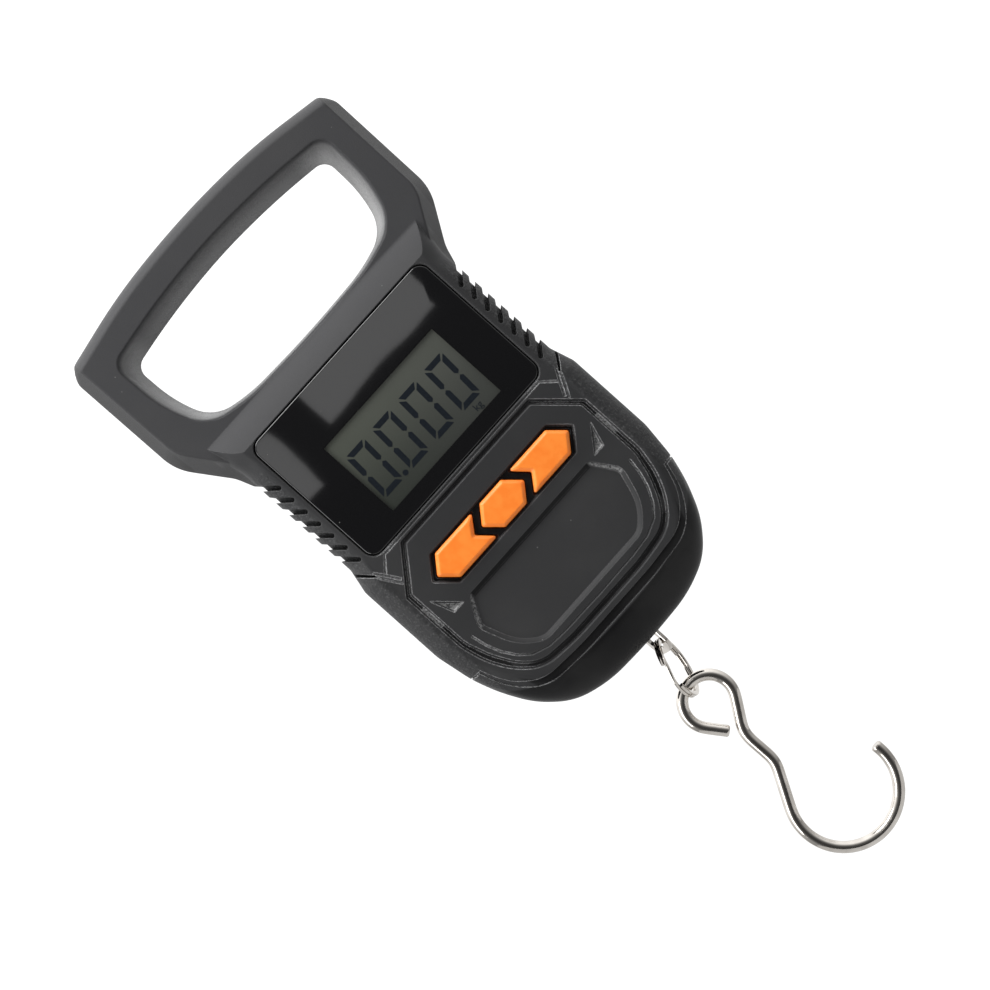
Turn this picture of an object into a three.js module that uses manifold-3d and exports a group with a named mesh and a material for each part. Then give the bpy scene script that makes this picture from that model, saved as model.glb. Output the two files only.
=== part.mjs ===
// Handheld digital fish scale: a moulded case with a hand loop on top, a display window and three
// keys on its face, an aluminium load cell and two cells inside, and a steel tab, ring and wire hook
// below. Millimetres. +Z is up with the scale hanging, the face looks along -Y, and the origin is on
// the underside of the hand loop's top bar, on the plane where the two case halves meet.
import * as THREE from "three";
import { mergeVertices } from "three/addons/utils/BufferGeometryUtils.js";
import Module from "manifold-3d";

const wasm = await Module();
wasm.setup();

// Case
const GAP = 0.3; // between pieces that touch on the real scale
const BEYOND = 1; // how far a cutting tool runs past the surface it cuts
const WALL = 2.2;
const FACE_Y = -15; // display and key face
const BACK_Y = 13; // flat back
const LOOP_Y = 11; // half depth of the hand loop
const LOOP_HALF = 47.5; // half width of the hand loop
const LOOP_TOP = 13;
const LOOP_FOOT = -31; // where the loop's faces meet the slopes up to the face and back
const FACE_TOP = -38.5;
const BACK_TOP = -36.5;
const WAIST_HALF = 36.4; // half width beside the window
const HIP_HALF = 38.1; // half width beside the keys
const CASE_BOTTOM = -141.9;
const CAP_TOP = -116; // where the lower cap begins
const LOOP_RIM = { deep: LOOP_Y - 1, inset: 3.6 };
const BODY_RIM = { deep: 8, inset: 4.2, segments: 2 };

// Window and display
const WINDOW = { half: 30.35, top: -39, bottom: -78.8, corner: 3, thick: 1.5 };
const WINDOW_SEAT = { half: 31.4, margin: 1.4, thick: 1.9 };
const LCD = { x: 0.7, half: 22.5, top: -48.6, bottom: -77.4, thick: 2 };
const BACKLIGHT = { half: 22, top: -49.2, bottom: -73.6, thick: 1.9 };
const CONNECTOR = { half: 21, top: -74.2, bottom: -76.6 };
const BOARD = { half: 29.2, top: -45, bottom: -104, front: -8, thick: 1.6, corner: 2 };
const CHIP = { half: 4, top: -79, bottom: -87, thick: 1.6 };
const BUZZER = { x: 19, z: -84, radius: 4.5, tall: 3.4, port: 0.8 };

// Keys
const KEY_TOP = -88.7;
const KEY_BOTTOM = -97.1;
const KEY_MIDDLE = (KEY_TOP + KEY_BOTTOM) / 2;
const KEY_HIGH = (KEY_TOP - KEY_BOTTOM) / 2; // half height
const KEY_LEAN = 0.9; // sideways run of a key's slanted side for each mm of height
const KEY_PROUD = 0.9; // how far a key stands out of the face
const KEY_BACK = -11.6;
const KEY_FLANGE = { front: -12.5, back: -11.2, wider: 0.55 };
const KEY_CENTRES = { left: -14.9, middle: 0.3, right: 15.2 };
const MIDDLE_KEY_REACH = 7.6;
const OUTER_KEY = { tip: 23.6, notch: 10.2 };
const KEY_RECESS = { reach: 25.2, margin: 0.7, deep: 1.1 };
const SWITCH = { half: 3, front: -10.1, well: 1.75, wellBack: -8.8 };
const PLUNGER = { radius: 1.45, front: -10.9, back: -9.5 };

// Fins on the sides of the waist
const FIN_COUNT = 7;
const FIN_PITCH = 4.27;
const FIRST_FIN = -45.2;
const FIN_SLOPE = THREE.MathUtils.degToRad(48);
const FIN_DEEP = 1.4;
const FIN_SLOT = { long: 8, wide: 1.3, drop: 1.6 };

// Cells and their tray
const CELL = { radius: 5.25, length: 43.6, y: 5.2, upper: -53.9, lower: -65.3, nub: 1.9, nubLong: 0.8 };
const TRAY = { half: 28, top: -47.4, bottom: -71.8, floor: -0.6, wall: 1.4 };
const WIRE_SLOT = { left: -24.4, right: -20.8, bottom: -71.4, top: -66.8 };
const COVER = { half: 30, top: -45.2, bottom: -74.2, thick: 1.6 };
const TONGUE = { x: 18, half: 3, thick: 2, below: 0.9, above: 1.2 };
const THUMB_NOTCH = { half: 7, top: -47.4, bottom: -49.8, deep: 0.6 };
const CONTACT = { thick: 0.5, front: 1, back: 9.4, half: 4.4, dimple: 1.6 };
const SPRING = { turns: 3, perTurn: 10, coil: 2.6, wire: 0.25, start: 0.55, long: 5.1 };

// Load cell, tab, ring and hook
const BEAM = { half: 16, top: -91, bottom: -131, depth: 8 };
const BEAM_MIDDLE = (BEAM.top + BEAM.bottom) / 2;
const BEAM_SLOT = { web: 6, wide: 1.5, away: 8.5 }; // slot width, and its distance from the middle
const BEAM_EYE = { x: 4.2, radius: 3.4, neck: 1 };
const GAUGE = { half: 9, top: -103.4, bottom: -107.4, thick: 0.8 };
const TAB_PIN = { radius: 1.2, half: 3.2, above: 3.6 };
const TAB_SOCKET_TOP = BEAM.bottom + 7.5;
const TAB_SLOT_HALF = { x: 2.6, y: 5.2 };
const TAB = { x: 0.7, thick: 1.1, half: 4.6, bottom: -148, hole: 3.1, rim: 1.7, round: 3.4, turn: 22 };
const RING = { radius: 7.9, wire: 0.85, top: -144.5, turn: 70, lean: 12 };
const HOOK_WIRE = 1.55;
const HOOK_Y = 1.1; // the leaning ring carries the hook a little behind the middle plane
const EYE = { x: -1.85, z: -163.95, radius: 6.7 };
const BOWL = { x: 3.8, z: -203.8, radius: 13.9 };

// Fasteners
const CASE_SCREW = { shank: 1.3, head: 2.3, headHeight: 1.9, seat: 4.6, tip: -8.2 };
const CASE_SCREW_PLACES = { handle: [40.5, 1.2], waist: [29.1, -40.2], base: [25, -122] };
const CASE_BOSS = { front: 3.4, back: 3.9 }; // radii
const BOARD_SCREW = { shank: 1, head: 2.1, headHeight: 1.3, tip: -11.8 };
const BOARD_SCREW_PLACES = [
  [26.6, -48],
  [26.6, -100.6],
];
const BOARD_BOSS = { radius: 2.6, front: -13, bore: -12.2 };
const BEAM_SCREW = { shank: 1.8, head: 3.4, headHeight: 2, seat: -1.7, tip: 10 };
const BEAM_SCREW_PLACE = [9.5, -95.6];
const BEAM_BOSS = { radius: 4.2, back: 12 };
const CROSS = { arm: 1.5, half: 0.35 };

// Wires
const GAUGE_CABLE = 0.7;
const BATTERY_WIRE = 0.5;

const BLACK_CASE = { color: 0x2b2b2d, roughness: 0.62, metalness: 0 };
const BLACK_GLOSS = { color: 0x070708, roughness: 0.08, metalness: 0 };
const LCD_GLASS = { color: 0x5f6459, roughness: 0.3, metalness: 0 };
const LIGHT_GUIDE = { color: 0xe8eef0, roughness: 0.4, metalness: 0 };
const ORANGE_KEY = { color: 0xf77a1d, roughness: 0.45, metalness: 0 };
const BOARD_GREEN = { color: 0x1c5a33, roughness: 0.5, metalness: 0 };
const CHIP_BLACK = { color: 0x111111, roughness: 0.5, metalness: 0 };
const ALUMINIUM = { color: 0xb9bcbf, roughness: 0.4, metalness: 1 };
const NICKEL = { color: 0xc9c5bd, roughness: 0.15, metalness: 1 };
const STEEL = { color: 0x8f9296, roughness: 0.35, metalness: 1 };
const RUBBER_GREY = { color: 0x4b4b4d, roughness: 0.8, metalness: 0 };
const WIRE_RED = { color: 0xb3201c, roughness: 0.5, metalness: 0 };
const WIRE_BLACK = { color: 0x151515, roughness: 0.5, metalness: 0 };
const CELL_SLEEVE = { color: 0x2f6e8f, roughness: 0.35, metalness: 0 };

const ARC_STEPS = 2; // half the number of facets in a rounded corner

// ---- Outlines and solids -------------------------------------------------------------------

// A closed outline through corners [x, z, radius], each corner rounded off by an arc of its radius.
function outline(corners) {
  const shape = new THREE.Shape();
  corners.forEach(([x, z, radius = 0], i) => {
    const here = new THREE.Vector2(x, z);
    const [beforeX, beforeZ] = corners.at(i - 1);
    const [afterX, afterZ] = corners[(i + 1) % corners.length];
    const back = new THREE.Vector2(beforeX, beforeZ).sub(here).normalize();
    const on = new THREE.Vector2(afterX, afterZ).sub(here).normalize();
    const halfAngle = Math.acos(back.dot(on)) / 2;
    const reach = radius / Math.tan(halfAngle);
    const start = here.clone().addScaledVector(back, reach);
    if (i === 0) shape.moveTo(start.x, start.y);
    else shape.lineTo(start.x, start.y);
    if (radius === 0) return;
    const middle = back.clone().add(on).normalize();
    const centre = here.clone().addScaledVector(middle, radius / Math.sin(halfAngle));
    const end = here.clone().addScaledVector(on, reach);
    const from = start.sub(centre).angle();
    const to = end.sub(centre).angle();
    shape.absarc(centre.x, centre.y, radius, from, to, back.cross(on) > 0);
  });
  shape.closePath();
  return shape;
}

// The same, mirrored about x = 0: the corners run down the right side, from top to bottom.
function mirrored(corners) {
  const left = corners.filter(([x]) => x !== 0).map(([x, z, radius]) => [-x, z, radius]);
  return outline([...corners, ...left.reverse()]);
}

function rectangle(left, right, bottom, top, radius = 0) {
  return outline([
    [right, top, radius],
    [right, bottom, radius],
    [left, bottom, radius],
    [left, top, radius],
  ]);
}

function solidOf(geometry) {
  geometry.deleteAttribute("normal");
  geometry.deleteAttribute("uv");
  const merged = mergeVertices(geometry, 1e-3);
  return new wasm.Manifold(
    new wasm.Mesh({
      numProp: 3,
      vertProperties: merged.attributes.position.array,
      triVerts: new Uint32Array(merged.index.array),
    }),
  );
}

function geometryOf(solid) {
  const { vertProperties, triVerts } = solid.getMesh();
  const geometry = new THREE.BufferGeometry();
  geometry.setAttribute("position", new THREE.BufferAttribute(vertProperties, 3));
  geometry.setIndex(new THREE.BufferAttribute(triVerts, 1));
  geometry.computeVertexNormals();
  return geometry;
}

// An outline in x and z carried along y from front to back. A rim of `deep` along y at both ends
// draws the outline in by `inset`, in `segments` steps of a quarter ellipse.
function slab(shape, front, back, { deep = 0, inset = 0, segments = 1 } = {}) {
  const geometry = new THREE.ExtrudeGeometry(shape, {
    depth: back - front - 2 * deep,
    curveSegments: ARC_STEPS,
    bevelEnabled: deep > 0,
    bevelThickness: deep,
    bevelSize: inset,
    bevelOffset: -inset,
    bevelSegments: segments,
  });
  geometry.rotateX(Math.PI / 2);
  geometry.translate(0, back - deep, 0);
  return solidOf(geometry);
}

function box(left, right, front, back, bottom, top) {
  const geometry = new THREE.BoxGeometry(right - left, back - front, top - bottom);
  geometry.translate((left + right) / 2, (front + back) / 2, (bottom + top) / 2);
  return solidOf(geometry);
}

// A round bar along y, x or z between two stations.
function barY(x, z, radius, front, back, sides = 12) {
  const geometry = new THREE.CylinderGeometry(radius, radius, back - front, sides);
  geometry.translate(x, (front + back) / 2, z);
  return solidOf(geometry);
}

function barX(y, z, radius, left, right, sides = 16) {
  const geometry = new THREE.CylinderGeometry(radius, radius, right - left, sides);
  geometry.rotateZ(Math.PI / 2);
  geometry.translate((left + right) / 2, y, z);
  return solidOf(geometry);
}

// A round wire along a smooth curve through the points.
function wire(points, radius, steps, sides = 8) {
  const section = new THREE.Shape().absarc(0, 0, radius, 0, 2 * Math.PI);
  return solidOf(
    new THREE.ExtrudeGeometry(section, {
      steps,
      curveSegments: sides / 2,
      extrudePath: new THREE.CatmullRomCurve3(points),
    }),
  );
}

function joined(...solids) {
  return solids.reduce((all, one) => all.add(one));
}

function cut(solid, ...tools) {
  return tools.reduce((left, tool) => left.subtract(tool), solid);
}

function bothSides(make) {
  return joined(make(1), make(-1));
}

// ---- The case ------------------------------------------------------------------------------

const LOOP_OUTSIDE = mirrored([
  [0, LOOP_TOP, 230],
  [25, LOOP_TOP - 1.6, 150],
  [LOOP_HALF, 7.2, 4.4],
  [LOOP_HALF - 0.4, -27.2, 14],
  [38.8, -39.8, 12],
  [WAIST_HALF - 0.1, -47],
]);

// The hand loop's opening is narrowest where the halves meet and flares towards both faces.
const OPENING_MIDDLE = mirrored([
  [0, 0.3, 170],
  [20, -0.9, 200],
  [34.9, -3.1, 3.5],
  [34.6, -15, 36],
  [31.2, -25.6, 9.8],
  [20, -28.2, 46],
  [0, -28.9, 300],
]);

const OPENING_FACE = mirrored([
  [0, 3.1, 170],
  [20, 1.9, 200],
  [37.8, -0.6, 3.9],
  [37.4, -15.5, 36],
  [33.4, -27.4, 10.4],
  [20.6, -30.3, 46],
  [0, LOOP_FOOT, 300],
]);

const BODY_OUTSIDE = mirrored([
  [0, -24],
  [39.6, -24, 5],
  [38.4, -31, 12],
  [WAIST_HALF - 0.1, -41, 12],
  [WAIST_HALF, -76.2, 3],
  [HIP_HALF, -82.5, 6],
  [HIP_HALF, -106, 16],
  [36.6, CAP_TOP, 34],
  [34.4, -123, 44],
  [30.4, -131.2, 26],
  [23.6, -138.2, 18],
  [14, -141.3, 34],
  [0, CASE_BOTTOM, 160],
]);

const LOOP_HOLLOW = mirrored([
  [0, LOOP_TOP - WALL],
  [25, LOOP_TOP - 1.6 - WALL],
  [LOOP_HALF - WALL, 7.2 - WALL],
  [LOOP_HALF - 0.6 - WALL, -26.5],
  [35.2, -39.4],
  [31, -44],
]);

// What the loop's hollow keeps clear of: the opening with its wall round it.
const LOOP_CORE = mirrored([
  [8, 2.5],
  [37.4, -1.2],
  [37, -16],
  [33, -28.4],
  [20, -31.2],
]);

const BODY_HOLLOW = mirrored([
  [31, -35],
  [31, -78],
  [35.6, -85],
  [35.6, -108],
  [32, -123],
  [27.6, -130.6],
  [21.6, -136],
  [0, -139.4],
]);

function fingerOpening() {
  const half = (side) => {
    const seam = slab(OPENING_MIDDLE, -GAP / 2, GAP / 2);
    const mouth = slab(OPENING_FACE, side * LOOP_Y - GAP / 2, side * LOOP_Y + GAP / 2);
    return wasm.Manifold.hull([seam, mouth]);
  };
  return bothSides(half);
}

// The wedge of air between the loop's face and the body's raised face, ending at a flat slope.
function topSlope(faceY, faceTop) {
  const side = Math.sign(faceY);
  const loopY = side * LOOP_Y;
  const steep = (faceTop - LOOP_FOOT) / (faceY - loopY);
  const beyondY = faceY + side * BEYOND;
  const section = new THREE.Shape()
    .moveTo(loopY, 0)
    .lineTo(loopY, LOOP_FOOT)
    .lineTo(beyondY, faceTop + steep * side * BEYOND)
    .lineTo(beyondY, 0)
    .closePath();
  const wide = 2 * LOOP_HALF;
  const geometry = new THREE.ExtrudeGeometry(section, { depth: wide, bevelEnabled: false });
  geometry.rotateX(Math.PI / 2);
  geometry.rotateZ(Math.PI / 2);
  geometry.translate(wide / 2, 0, 0);
  return solidOf(geometry);
}

function caseOutside() {
  const loop = slab(LOOP_OUTSIDE, -LOOP_Y, LOOP_Y, LOOP_RIM);
  const body = slab(BODY_OUTSIDE, FACE_Y, BACK_Y, BODY_RIM);
  const sloped = cut(body, topSlope(FACE_Y, FACE_TOP), topSlope(BACK_Y, BACK_TOP));
  return cut(joined(loop, sloped), fingerOpening());
}

function caseHollow() {
  const loop = slab(LOOP_HOLLOW, -LOOP_Y + WALL, LOOP_Y - WALL, { deep: 8, inset: 2.4 });
  const core = slab(LOOP_CORE, -LOOP_Y - 1, LOOP_Y + 1, { deep: LOOP_Y, inset: -2.6 });
  const body = slab(BODY_HOLLOW, FACE_Y + WALL, BACK_Y - WALL, { deep: 4, inset: 2 });
  return joined(cut(loop, core), body);
}

// Grooves slanting down and inwards leave a row of fins on each side of the waist. They stop on a
// core that is the case drawn in by their depth.
function finSlots() {
  const { long, wide, drop } = FIN_SLOT;
  const slot = (side, i) => {
    const geometry = new THREE.BoxGeometry(long, 4 * LOOP_Y, wide);
    geometry.rotateY(side * -FIN_SLOPE);
    geometry.translate(side * WAIST_HALF, 0, FIRST_FIN - i * FIN_PITCH - drop);
    return solidOf(geometry);
  };
  const rows = [...Array(FIN_COUNT).keys()];
  const core = caseOutside().scale([1 - FIN_DEEP / WAIST_HALF, 1 - FIN_DEEP / BACK_Y, 1]);
  return cut(bothSides((side) => joined(...rows.map((i) => slot(side, i)))), core);
}

// The steel tab leaves the case through a slot that both halves share.
function tabSlot() {
  const { x, y } = TAB_SLOT_HALF;
  return box(TAB.x - x, TAB.x + x, -y, y, CASE_BOTTOM - BEYOND, CASE_BOTTOM + 2 * WALL);
}

function atCaseScrews(make) {
  const places = Object.values(CASE_SCREW_PLACES);
  return joined(...places.map(([x, z]) => bothSides((side) => make(side * x, z))));
}

function atBoardScrews(make) {
  const places = BOARD_SCREW_PLACES;
  return joined(...places.map(([x, z]) => bothSides((side) => make(side * x, z))));
}

// The halves of the case lie this side and that side of the seam.
const IN_FRONT = box(-LOOP_HALF, LOOP_HALF, 2 * FACE_Y, -GAP / 2, CASE_BOTTOM, LOOP_TOP);
const BEHIND = box(-LOOP_HALF, LOOP_HALF, GAP / 2, 2 * BACK_Y, CASE_BOTTOM, LOOP_TOP);

function windowSeat() {
  const { half, margin, thick } = WINDOW_SEAT;
  const front = FACE_Y + BEYOND;
  const back = FACE_Y + WINDOW.thick + thick;
  return box(-half, half, front, back, WINDOW.bottom - margin, WINDOW.top + margin);
}

// Where the window and the display behind it go.
function windowPocket() {
  const { half, top, bottom, corner, thick } = WINDOW;
  const around = rectangle(-half - GAP, half + GAP, bottom - GAP, top + GAP, corner);
  const pane = slab(around, FACE_Y - BEYOND, FACE_Y + thick + GAP);
  const panel = box(
    LCD.x - LCD.half - GAP,
    LCD.x + LCD.half + GAP,
    FACE_Y,
    FACE_Y + thick + WINDOW_SEAT.thick + BEYOND,
    LCD.bottom - GAP,
    LCD.top + GAP,
  );
  return joined(pane, panel);
}

function frontShell() {
  const { shank, tip } = CASE_SCREW;
  const bosses = joined(
    atCaseScrews((x, z) => barY(x, z, CASE_BOSS.front, FACE_Y + 1, -GAP / 2)),
    atBoardScrews((x, z) => barY(x, z, BOARD_BOSS.radius, BOARD_BOSS.front, BOARD.front - GAP)),
  );
  const bores = joined(
    atCaseScrews((x, z) => barY(x, z, shank + GAP, tip - GAP, BEYOND)),
    atBoardScrews((x, z) =>
      barY(x, z, BOARD_SCREW.shank + GAP, BOARD_BOSS.bore, BOARD.front + BEYOND),
    ),
  );
  const outside = caseOutside();
  const shell = cut(outside.intersect(IN_FRONT), caseHollow(), finSlots(), tabSlot());
  const fitted = joined(shell, windowSeat(), bosses).intersect(outside);
  return cut(fitted, windowPocket(), bores, keyRecess(), keyHoles());
}

// The cell bay's box, its inside, and the recess and notches that hold the battery cover.
function trayBox() {
  const { half, top, bottom, floor, wall } = TRAY;
  return box(-half - wall, half + wall, floor - wall, BACK_Y - 1, bottom - wall, top + wall);
}

function trayOpenings() {
  const { half, top, bottom, floor } = TRAY;
  const inside = box(-half, half, floor, BACK_Y + BEYOND, bottom, top);
  const coverRecess = box(
    -COVER.half - GAP,
    COVER.half + GAP,
    BACK_Y - COVER.thick - GAP,
    BACK_Y + BEYOND,
    COVER.bottom - GAP,
    COVER.top + GAP,
  );
  const reach = TONGUE.half + 0.4;
  const front = BACK_Y - COVER.thick - TONGUE.thick - BEYOND;
  const low = COVER.bottom - TONGUE.below - 0.8;
  const tongueNotches = bothSides((side) =>
    box(side * TONGUE.x - reach, side * TONGUE.x + reach, front, BACK_Y - 1, low, bottom + 1),
  );
  const wires = WIRE_SLOT;
  const wireSlot = box(wires.left, wires.right, floor - 3, floor + 1, wires.bottom, wires.top);
  return joined(inside, coverRecess, tongueNotches, wireSlot);
}

function backShell() {
  const { shank, head, seat } = CASE_SCREW;
  const [beamX, beamZ] = BEAM_SCREW_PLACE;
  const beamBack = BEAM.depth / 2 + GAP;
  const columns = joined(
    atCaseScrews((x, z) => barY(x, z, CASE_BOSS.back, GAP / 2, BACK_Y - 1)),
    bothSides((side) => barY(side * beamX, beamZ, BEAM_BOSS.radius, beamBack, BEAM_BOSS.back)),
  );
  const bores = joined(
    atCaseScrews((x, z) => barY(x, z, shank + GAP, -BEYOND, BACK_Y + BEYOND)),
    atCaseScrews((x, z) => barY(x, z, head + GAP, seat, BACK_Y + BEYOND)),
    bothSides((side) =>
      barY(side * beamX, beamZ, BEAM_SCREW.shank + GAP, beamBack - BEYOND, BEAM_SCREW.tip + 0.4),
    ),
  );
  const outside = caseOutside();
  const shell = cut(outside.intersect(BEHIND), caseHollow(), finSlots(), tabSlot());
  const fitted = joined(shell, trayBox(), columns).intersect(outside);
  return cut(fitted, trayOpenings(), bores);
}

// ---- Window, display and board -------------------------------------------------------------

function displayWindow() {
  const { half, top, bottom, corner, thick } = WINDOW;
  return slab(rectangle(-half, half, bottom, top, corner), FACE_Y, FACE_Y + thick, {
    deep: 0.3,
    inset: 0.3,
  });
}

function lcdPanel() {
  const front = FACE_Y + WINDOW.thick + GAP;
  return box(LCD.x - LCD.half, LCD.x + LCD.half, front, front + LCD.thick, LCD.bottom, LCD.top);
}

const BACKLIGHT_FRONT = FACE_Y + WINDOW.thick + LCD.thick + 2 * GAP;
const BOARD_BACK = BOARD.front + BOARD.thick + GAP; // front of the parts soldered on the board's back

function lcdBacklight() {
  const { half, top, bottom, thick } = BACKLIGHT;
  return box(LCD.x - half, LCD.x + half, BACKLIGHT_FRONT, BACKLIGHT_FRONT + thick, bottom, top);
}

function lcdConnector() {
  const { half, top, bottom } = CONNECTOR;
  return box(LCD.x - half, LCD.x + half, BACKLIGHT_FRONT, BOARD.front - GAP, bottom, top);
}

function circuitBoard() {
  const { half, top, bottom, front, thick, corner } = BOARD;
  const board = slab(rectangle(-half, half, bottom, top, corner), front, front + thick);
  const holes = atBoardScrews((x, z) => barY(x, z, BOARD_SCREW.shank + GAP, front - BEYOND, 0));
  return cut(board, holes);
}

function controllerChip() {
  const { half, top, bottom, thick } = CHIP;
  const shape = rectangle(-half, half, bottom, top, 0.6);
  return slab(shape, BOARD_BACK, BOARD_BACK + thick, { deep: 0.4, inset: 0.4 });
}

function buzzer() {
  const { x, z, radius, tall, port } = BUZZER;
  const can = barY(x, z, radius, BOARD_BACK, BOARD_BACK + tall, 18);
  return cut(can, barY(x, z, port, BOARD_BACK + tall / 2, BOARD_BACK + tall + BEYOND, 10));
}

// ---- Keys and their switches ---------------------------------------------------------------

// A long hexagon about the middle key's centre, pointing left and right.
function hexagon(reach, high) {
  const middle = KEY_CENTRES.middle;
  const shoulder = reach - KEY_LEAN * high;
  return outline([
    [middle + reach, KEY_MIDDLE, 0.6],
    [middle + shoulder, KEY_MIDDLE - high, 0.6],
    [middle - shoulder, KEY_MIDDLE - high, 0.6],
    [middle - reach, KEY_MIDDLE, 0.6],
    [middle - shoulder, KEY_MIDDLE + high, 0.6],
    [middle + shoulder, KEY_MIDDLE + high, 0.6],
  ]);
}

// A key's outline, `grow` larger all round: a hexagon in the middle, and on each side an arrow
// whose inner end is notched to take the hexagon's point.
function keyOutline(place, grow = 0) {
  const high = KEY_HIGH + grow;
  const point = grow * Math.hypot(1, KEY_LEAN);
  if (place === "middle") return hexagon(MIDDLE_KEY_REACH + point, high);
  const slant = KEY_LEAN * high;
  const side = place === "right" ? 1 : -1;
  const at = (reach) => KEY_CENTRES.middle + side * reach;
  const tip = OUTER_KEY.tip + point;
  const notch = OUTER_KEY.notch - point;
  const corners = [
    [at(tip), KEY_MIDDLE, 0.6],
    [at(tip - slant), KEY_MIDDLE - high, 0.8],
    [at(notch - slant + 0.2), KEY_MIDDLE - high, 0.6],
    [at(notch), KEY_MIDDLE, 0.6],
    [at(notch - slant + 0.2), KEY_MIDDLE + high, 0.6],
    [at(tip - slant), KEY_MIDDLE + high, 0.8],
  ];
  return outline(side > 0 ? corners : corners.reverse());
}

function keyRecess() {
  const { reach, margin, deep } = KEY_RECESS;
  return slab(hexagon(reach, KEY_HIGH + margin), FACE_Y - BEYOND, FACE_Y + deep);
}

function keyHoles() {
  const places = Object.keys(KEY_CENTRES);
  const back = FACE_Y + 2 * WALL + 0.6;
  return joined(...places.map((place) => slab(keyOutline(place, GAP), FACE_Y - BEYOND, back)));
}

function keyCap(place) {
  const edge = { deep: 0.4, inset: 0.35 };
  const { front, back, wider } = KEY_FLANGE;
  const cap = slab(keyOutline(place), FACE_Y - KEY_PROUD, KEY_BACK, edge);
  return joined(cap, slab(keyOutline(place, wider), front, back));
}

function keySwitch(place) {
  const x = KEY_CENTRES[place];
  const { half, front, well, wellBack } = SWITCH;
  const back = BOARD.front - GAP;
  const body = box(x - half, x + half, front, back, KEY_MIDDLE - half, KEY_MIDDLE + half);
  return cut(body, barY(x, KEY_MIDDLE, well, front - BEYOND, wellBack));
}

function switchPlunger(place) {
  return barY(KEY_CENTRES[place], KEY_MIDDLE, PLUNGER.radius, PLUNGER.front, PLUNGER.back);
}

// ---- Load cell -----------------------------------------------------------------------------

// An S beam: a slot from each side leaves a bending block in the middle, thinned by two holes.
function loadCell() {
  const { half, top, bottom, depth } = BEAM;
  const beam = slab(rectangle(-half, half, bottom, top, 1.5), -depth / 2, depth / 2);
  const tools = [beamSlots(), beamEyes(), beamScrewHoles()];
  return cut(beam, ...tools, turnedTab(tabSocket()), turnedTab(tabPin(GAP)));
}

function beamSlots() {
  const { half, depth } = BEAM;
  const { web, wide, away } = BEAM_SLOT;
  const upper = BEAM_MIDDLE + away;
  const lower = BEAM_MIDDLE - away;
  return joined(
    box(-half - BEYOND, half - web, -depth, depth, upper, upper + wide),
    box(-half + web, half + BEYOND, -depth, depth, lower - wide, lower),
  );
}

function beamEyes() {
  const { x, radius, neck } = BEAM_EYE;
  const through = BEAM.depth;
  return joined(
    bothSides((side) => barY(side * x, BEAM_MIDDLE, radius, -through, through, 20)),
    box(-x, x, -through, through, BEAM_MIDDLE - neck, BEAM_MIDDLE + neck),
  );
}

function beamScrewHoles() {
  const [x, z] = BEAM_SCREW_PLACE;
  const { shank, head, seat } = BEAM_SCREW;
  const through = BEAM.depth;
  return bothSides((side) =>
    joined(
      barY(side * x, z, shank + GAP, -through, through),
      barY(side * x, z, head + GAP, -through, seat),
    ),
  );
}

function strainGauge() {
  const { half, top, bottom, thick } = GAUGE;
  const back = -BEAM.depth / 2 - GAP;
  return slab(rectangle(-half, half, bottom, top, 1), back - thick, back);
}

// Everything on the tab is made square and then turned about the tab's upright middle line.
function turnedTab(solid) {
  const geometry = geometryOf(solid);
  geometry.rotateZ(THREE.MathUtils.degToRad(TAB.turn));
  geometry.translate(TAB.x, 0, 0);
  return solidOf(geometry);
}

function tabSocket() {
  const side = TAB.thick / 2 + GAP;
  return box(-side, side, -BEAM.depth, BEAM.depth, BEAM.bottom - BEYOND, TAB_SOCKET_TOP);
}

function tabPin(clearance = 0) {
  const { radius, half, above } = TAB_PIN;
  const reach = half + clearance;
  return barX(0, BEAM.bottom + above, radius + clearance, -reach, reach, 12);
}

function pullTab() {
  const { thick, half, bottom, hole, round } = TAB;
  const top = TAB_SOCKET_TOP - 2 * GAP;
  const shape = outline([
    [half, top, 1],
    [half, bottom, round],
    [-half, bottom, round],
    [-half, top, 1],
  ]);
  const plate = new THREE.ExtrudeGeometry(shape, {
    depth: thick,
    curveSegments: ARC_STEPS,
    bevelEnabled: false,
  });
  plate.rotateX(Math.PI / 2);
  plate.translate(0, thick / 2, 0);
  plate.rotateZ(Math.PI / 2);
  const { radius, above } = TAB_PIN;
  const eye = barX(0, bottom + TAB.rim + hole, hole, -thick, thick, 20);
  const pinHole = barX(0, BEAM.bottom + above, radius + GAP, -thick, thick, 12);
  return turnedTab(cut(solidOf(plate), eye, pinHole));
}

// ---- Ring and hook -------------------------------------------------------------------------

// The ring hangs in the tab's hole by its top, leaning, with its plane turned side-on.
function splitRing() {
  const { radius, wire: thickness, top, turn, lean } = RING;
  const geometry = new THREE.TorusGeometry(radius, thickness, 8, 32);
  geometry.translate(0, -radius, 0);
  geometry.rotateX(Math.PI / 2);
  geometry.rotateX(THREE.MathUtils.degToRad(lean));
  geometry.rotateZ(THREE.MathUtils.degToRad(turn));
  geometry.translate(TAB.x, 0, top);
  return solidOf(geometry);
}

// The hook's wire: a cut end, round the eye, down the shank, aside, and round the bowl.
function hookPoints() {
  const path = new THREE.Path();
  const deg = THREE.MathUtils.degToRad;
  path.moveTo(-3.5, -173.4);
  path.absarc(EYE.x, EYE.z, EYE.radius, deg(217.6), deg(-37.1), true);
  path.lineTo(-1.2, -174.5);
  path.quadraticCurveTo(-2, -175.8, -2, -177.6);
  path.lineTo(-1.9, -184.6);
  path.quadraticCurveTo(-1.9, -186.2, -2.7, -187.5);
  path.absarc(BOWL.x, BOWL.z, BOWL.radius, deg(150), deg(367), false);
  return path.getSpacedPoints(64).map(({ x, y }) => new THREE.Vector3(x, HOOK_Y, y));
}

function hook() {
  return wire(hookPoints(), HOOK_WIRE, 72);
}

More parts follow.
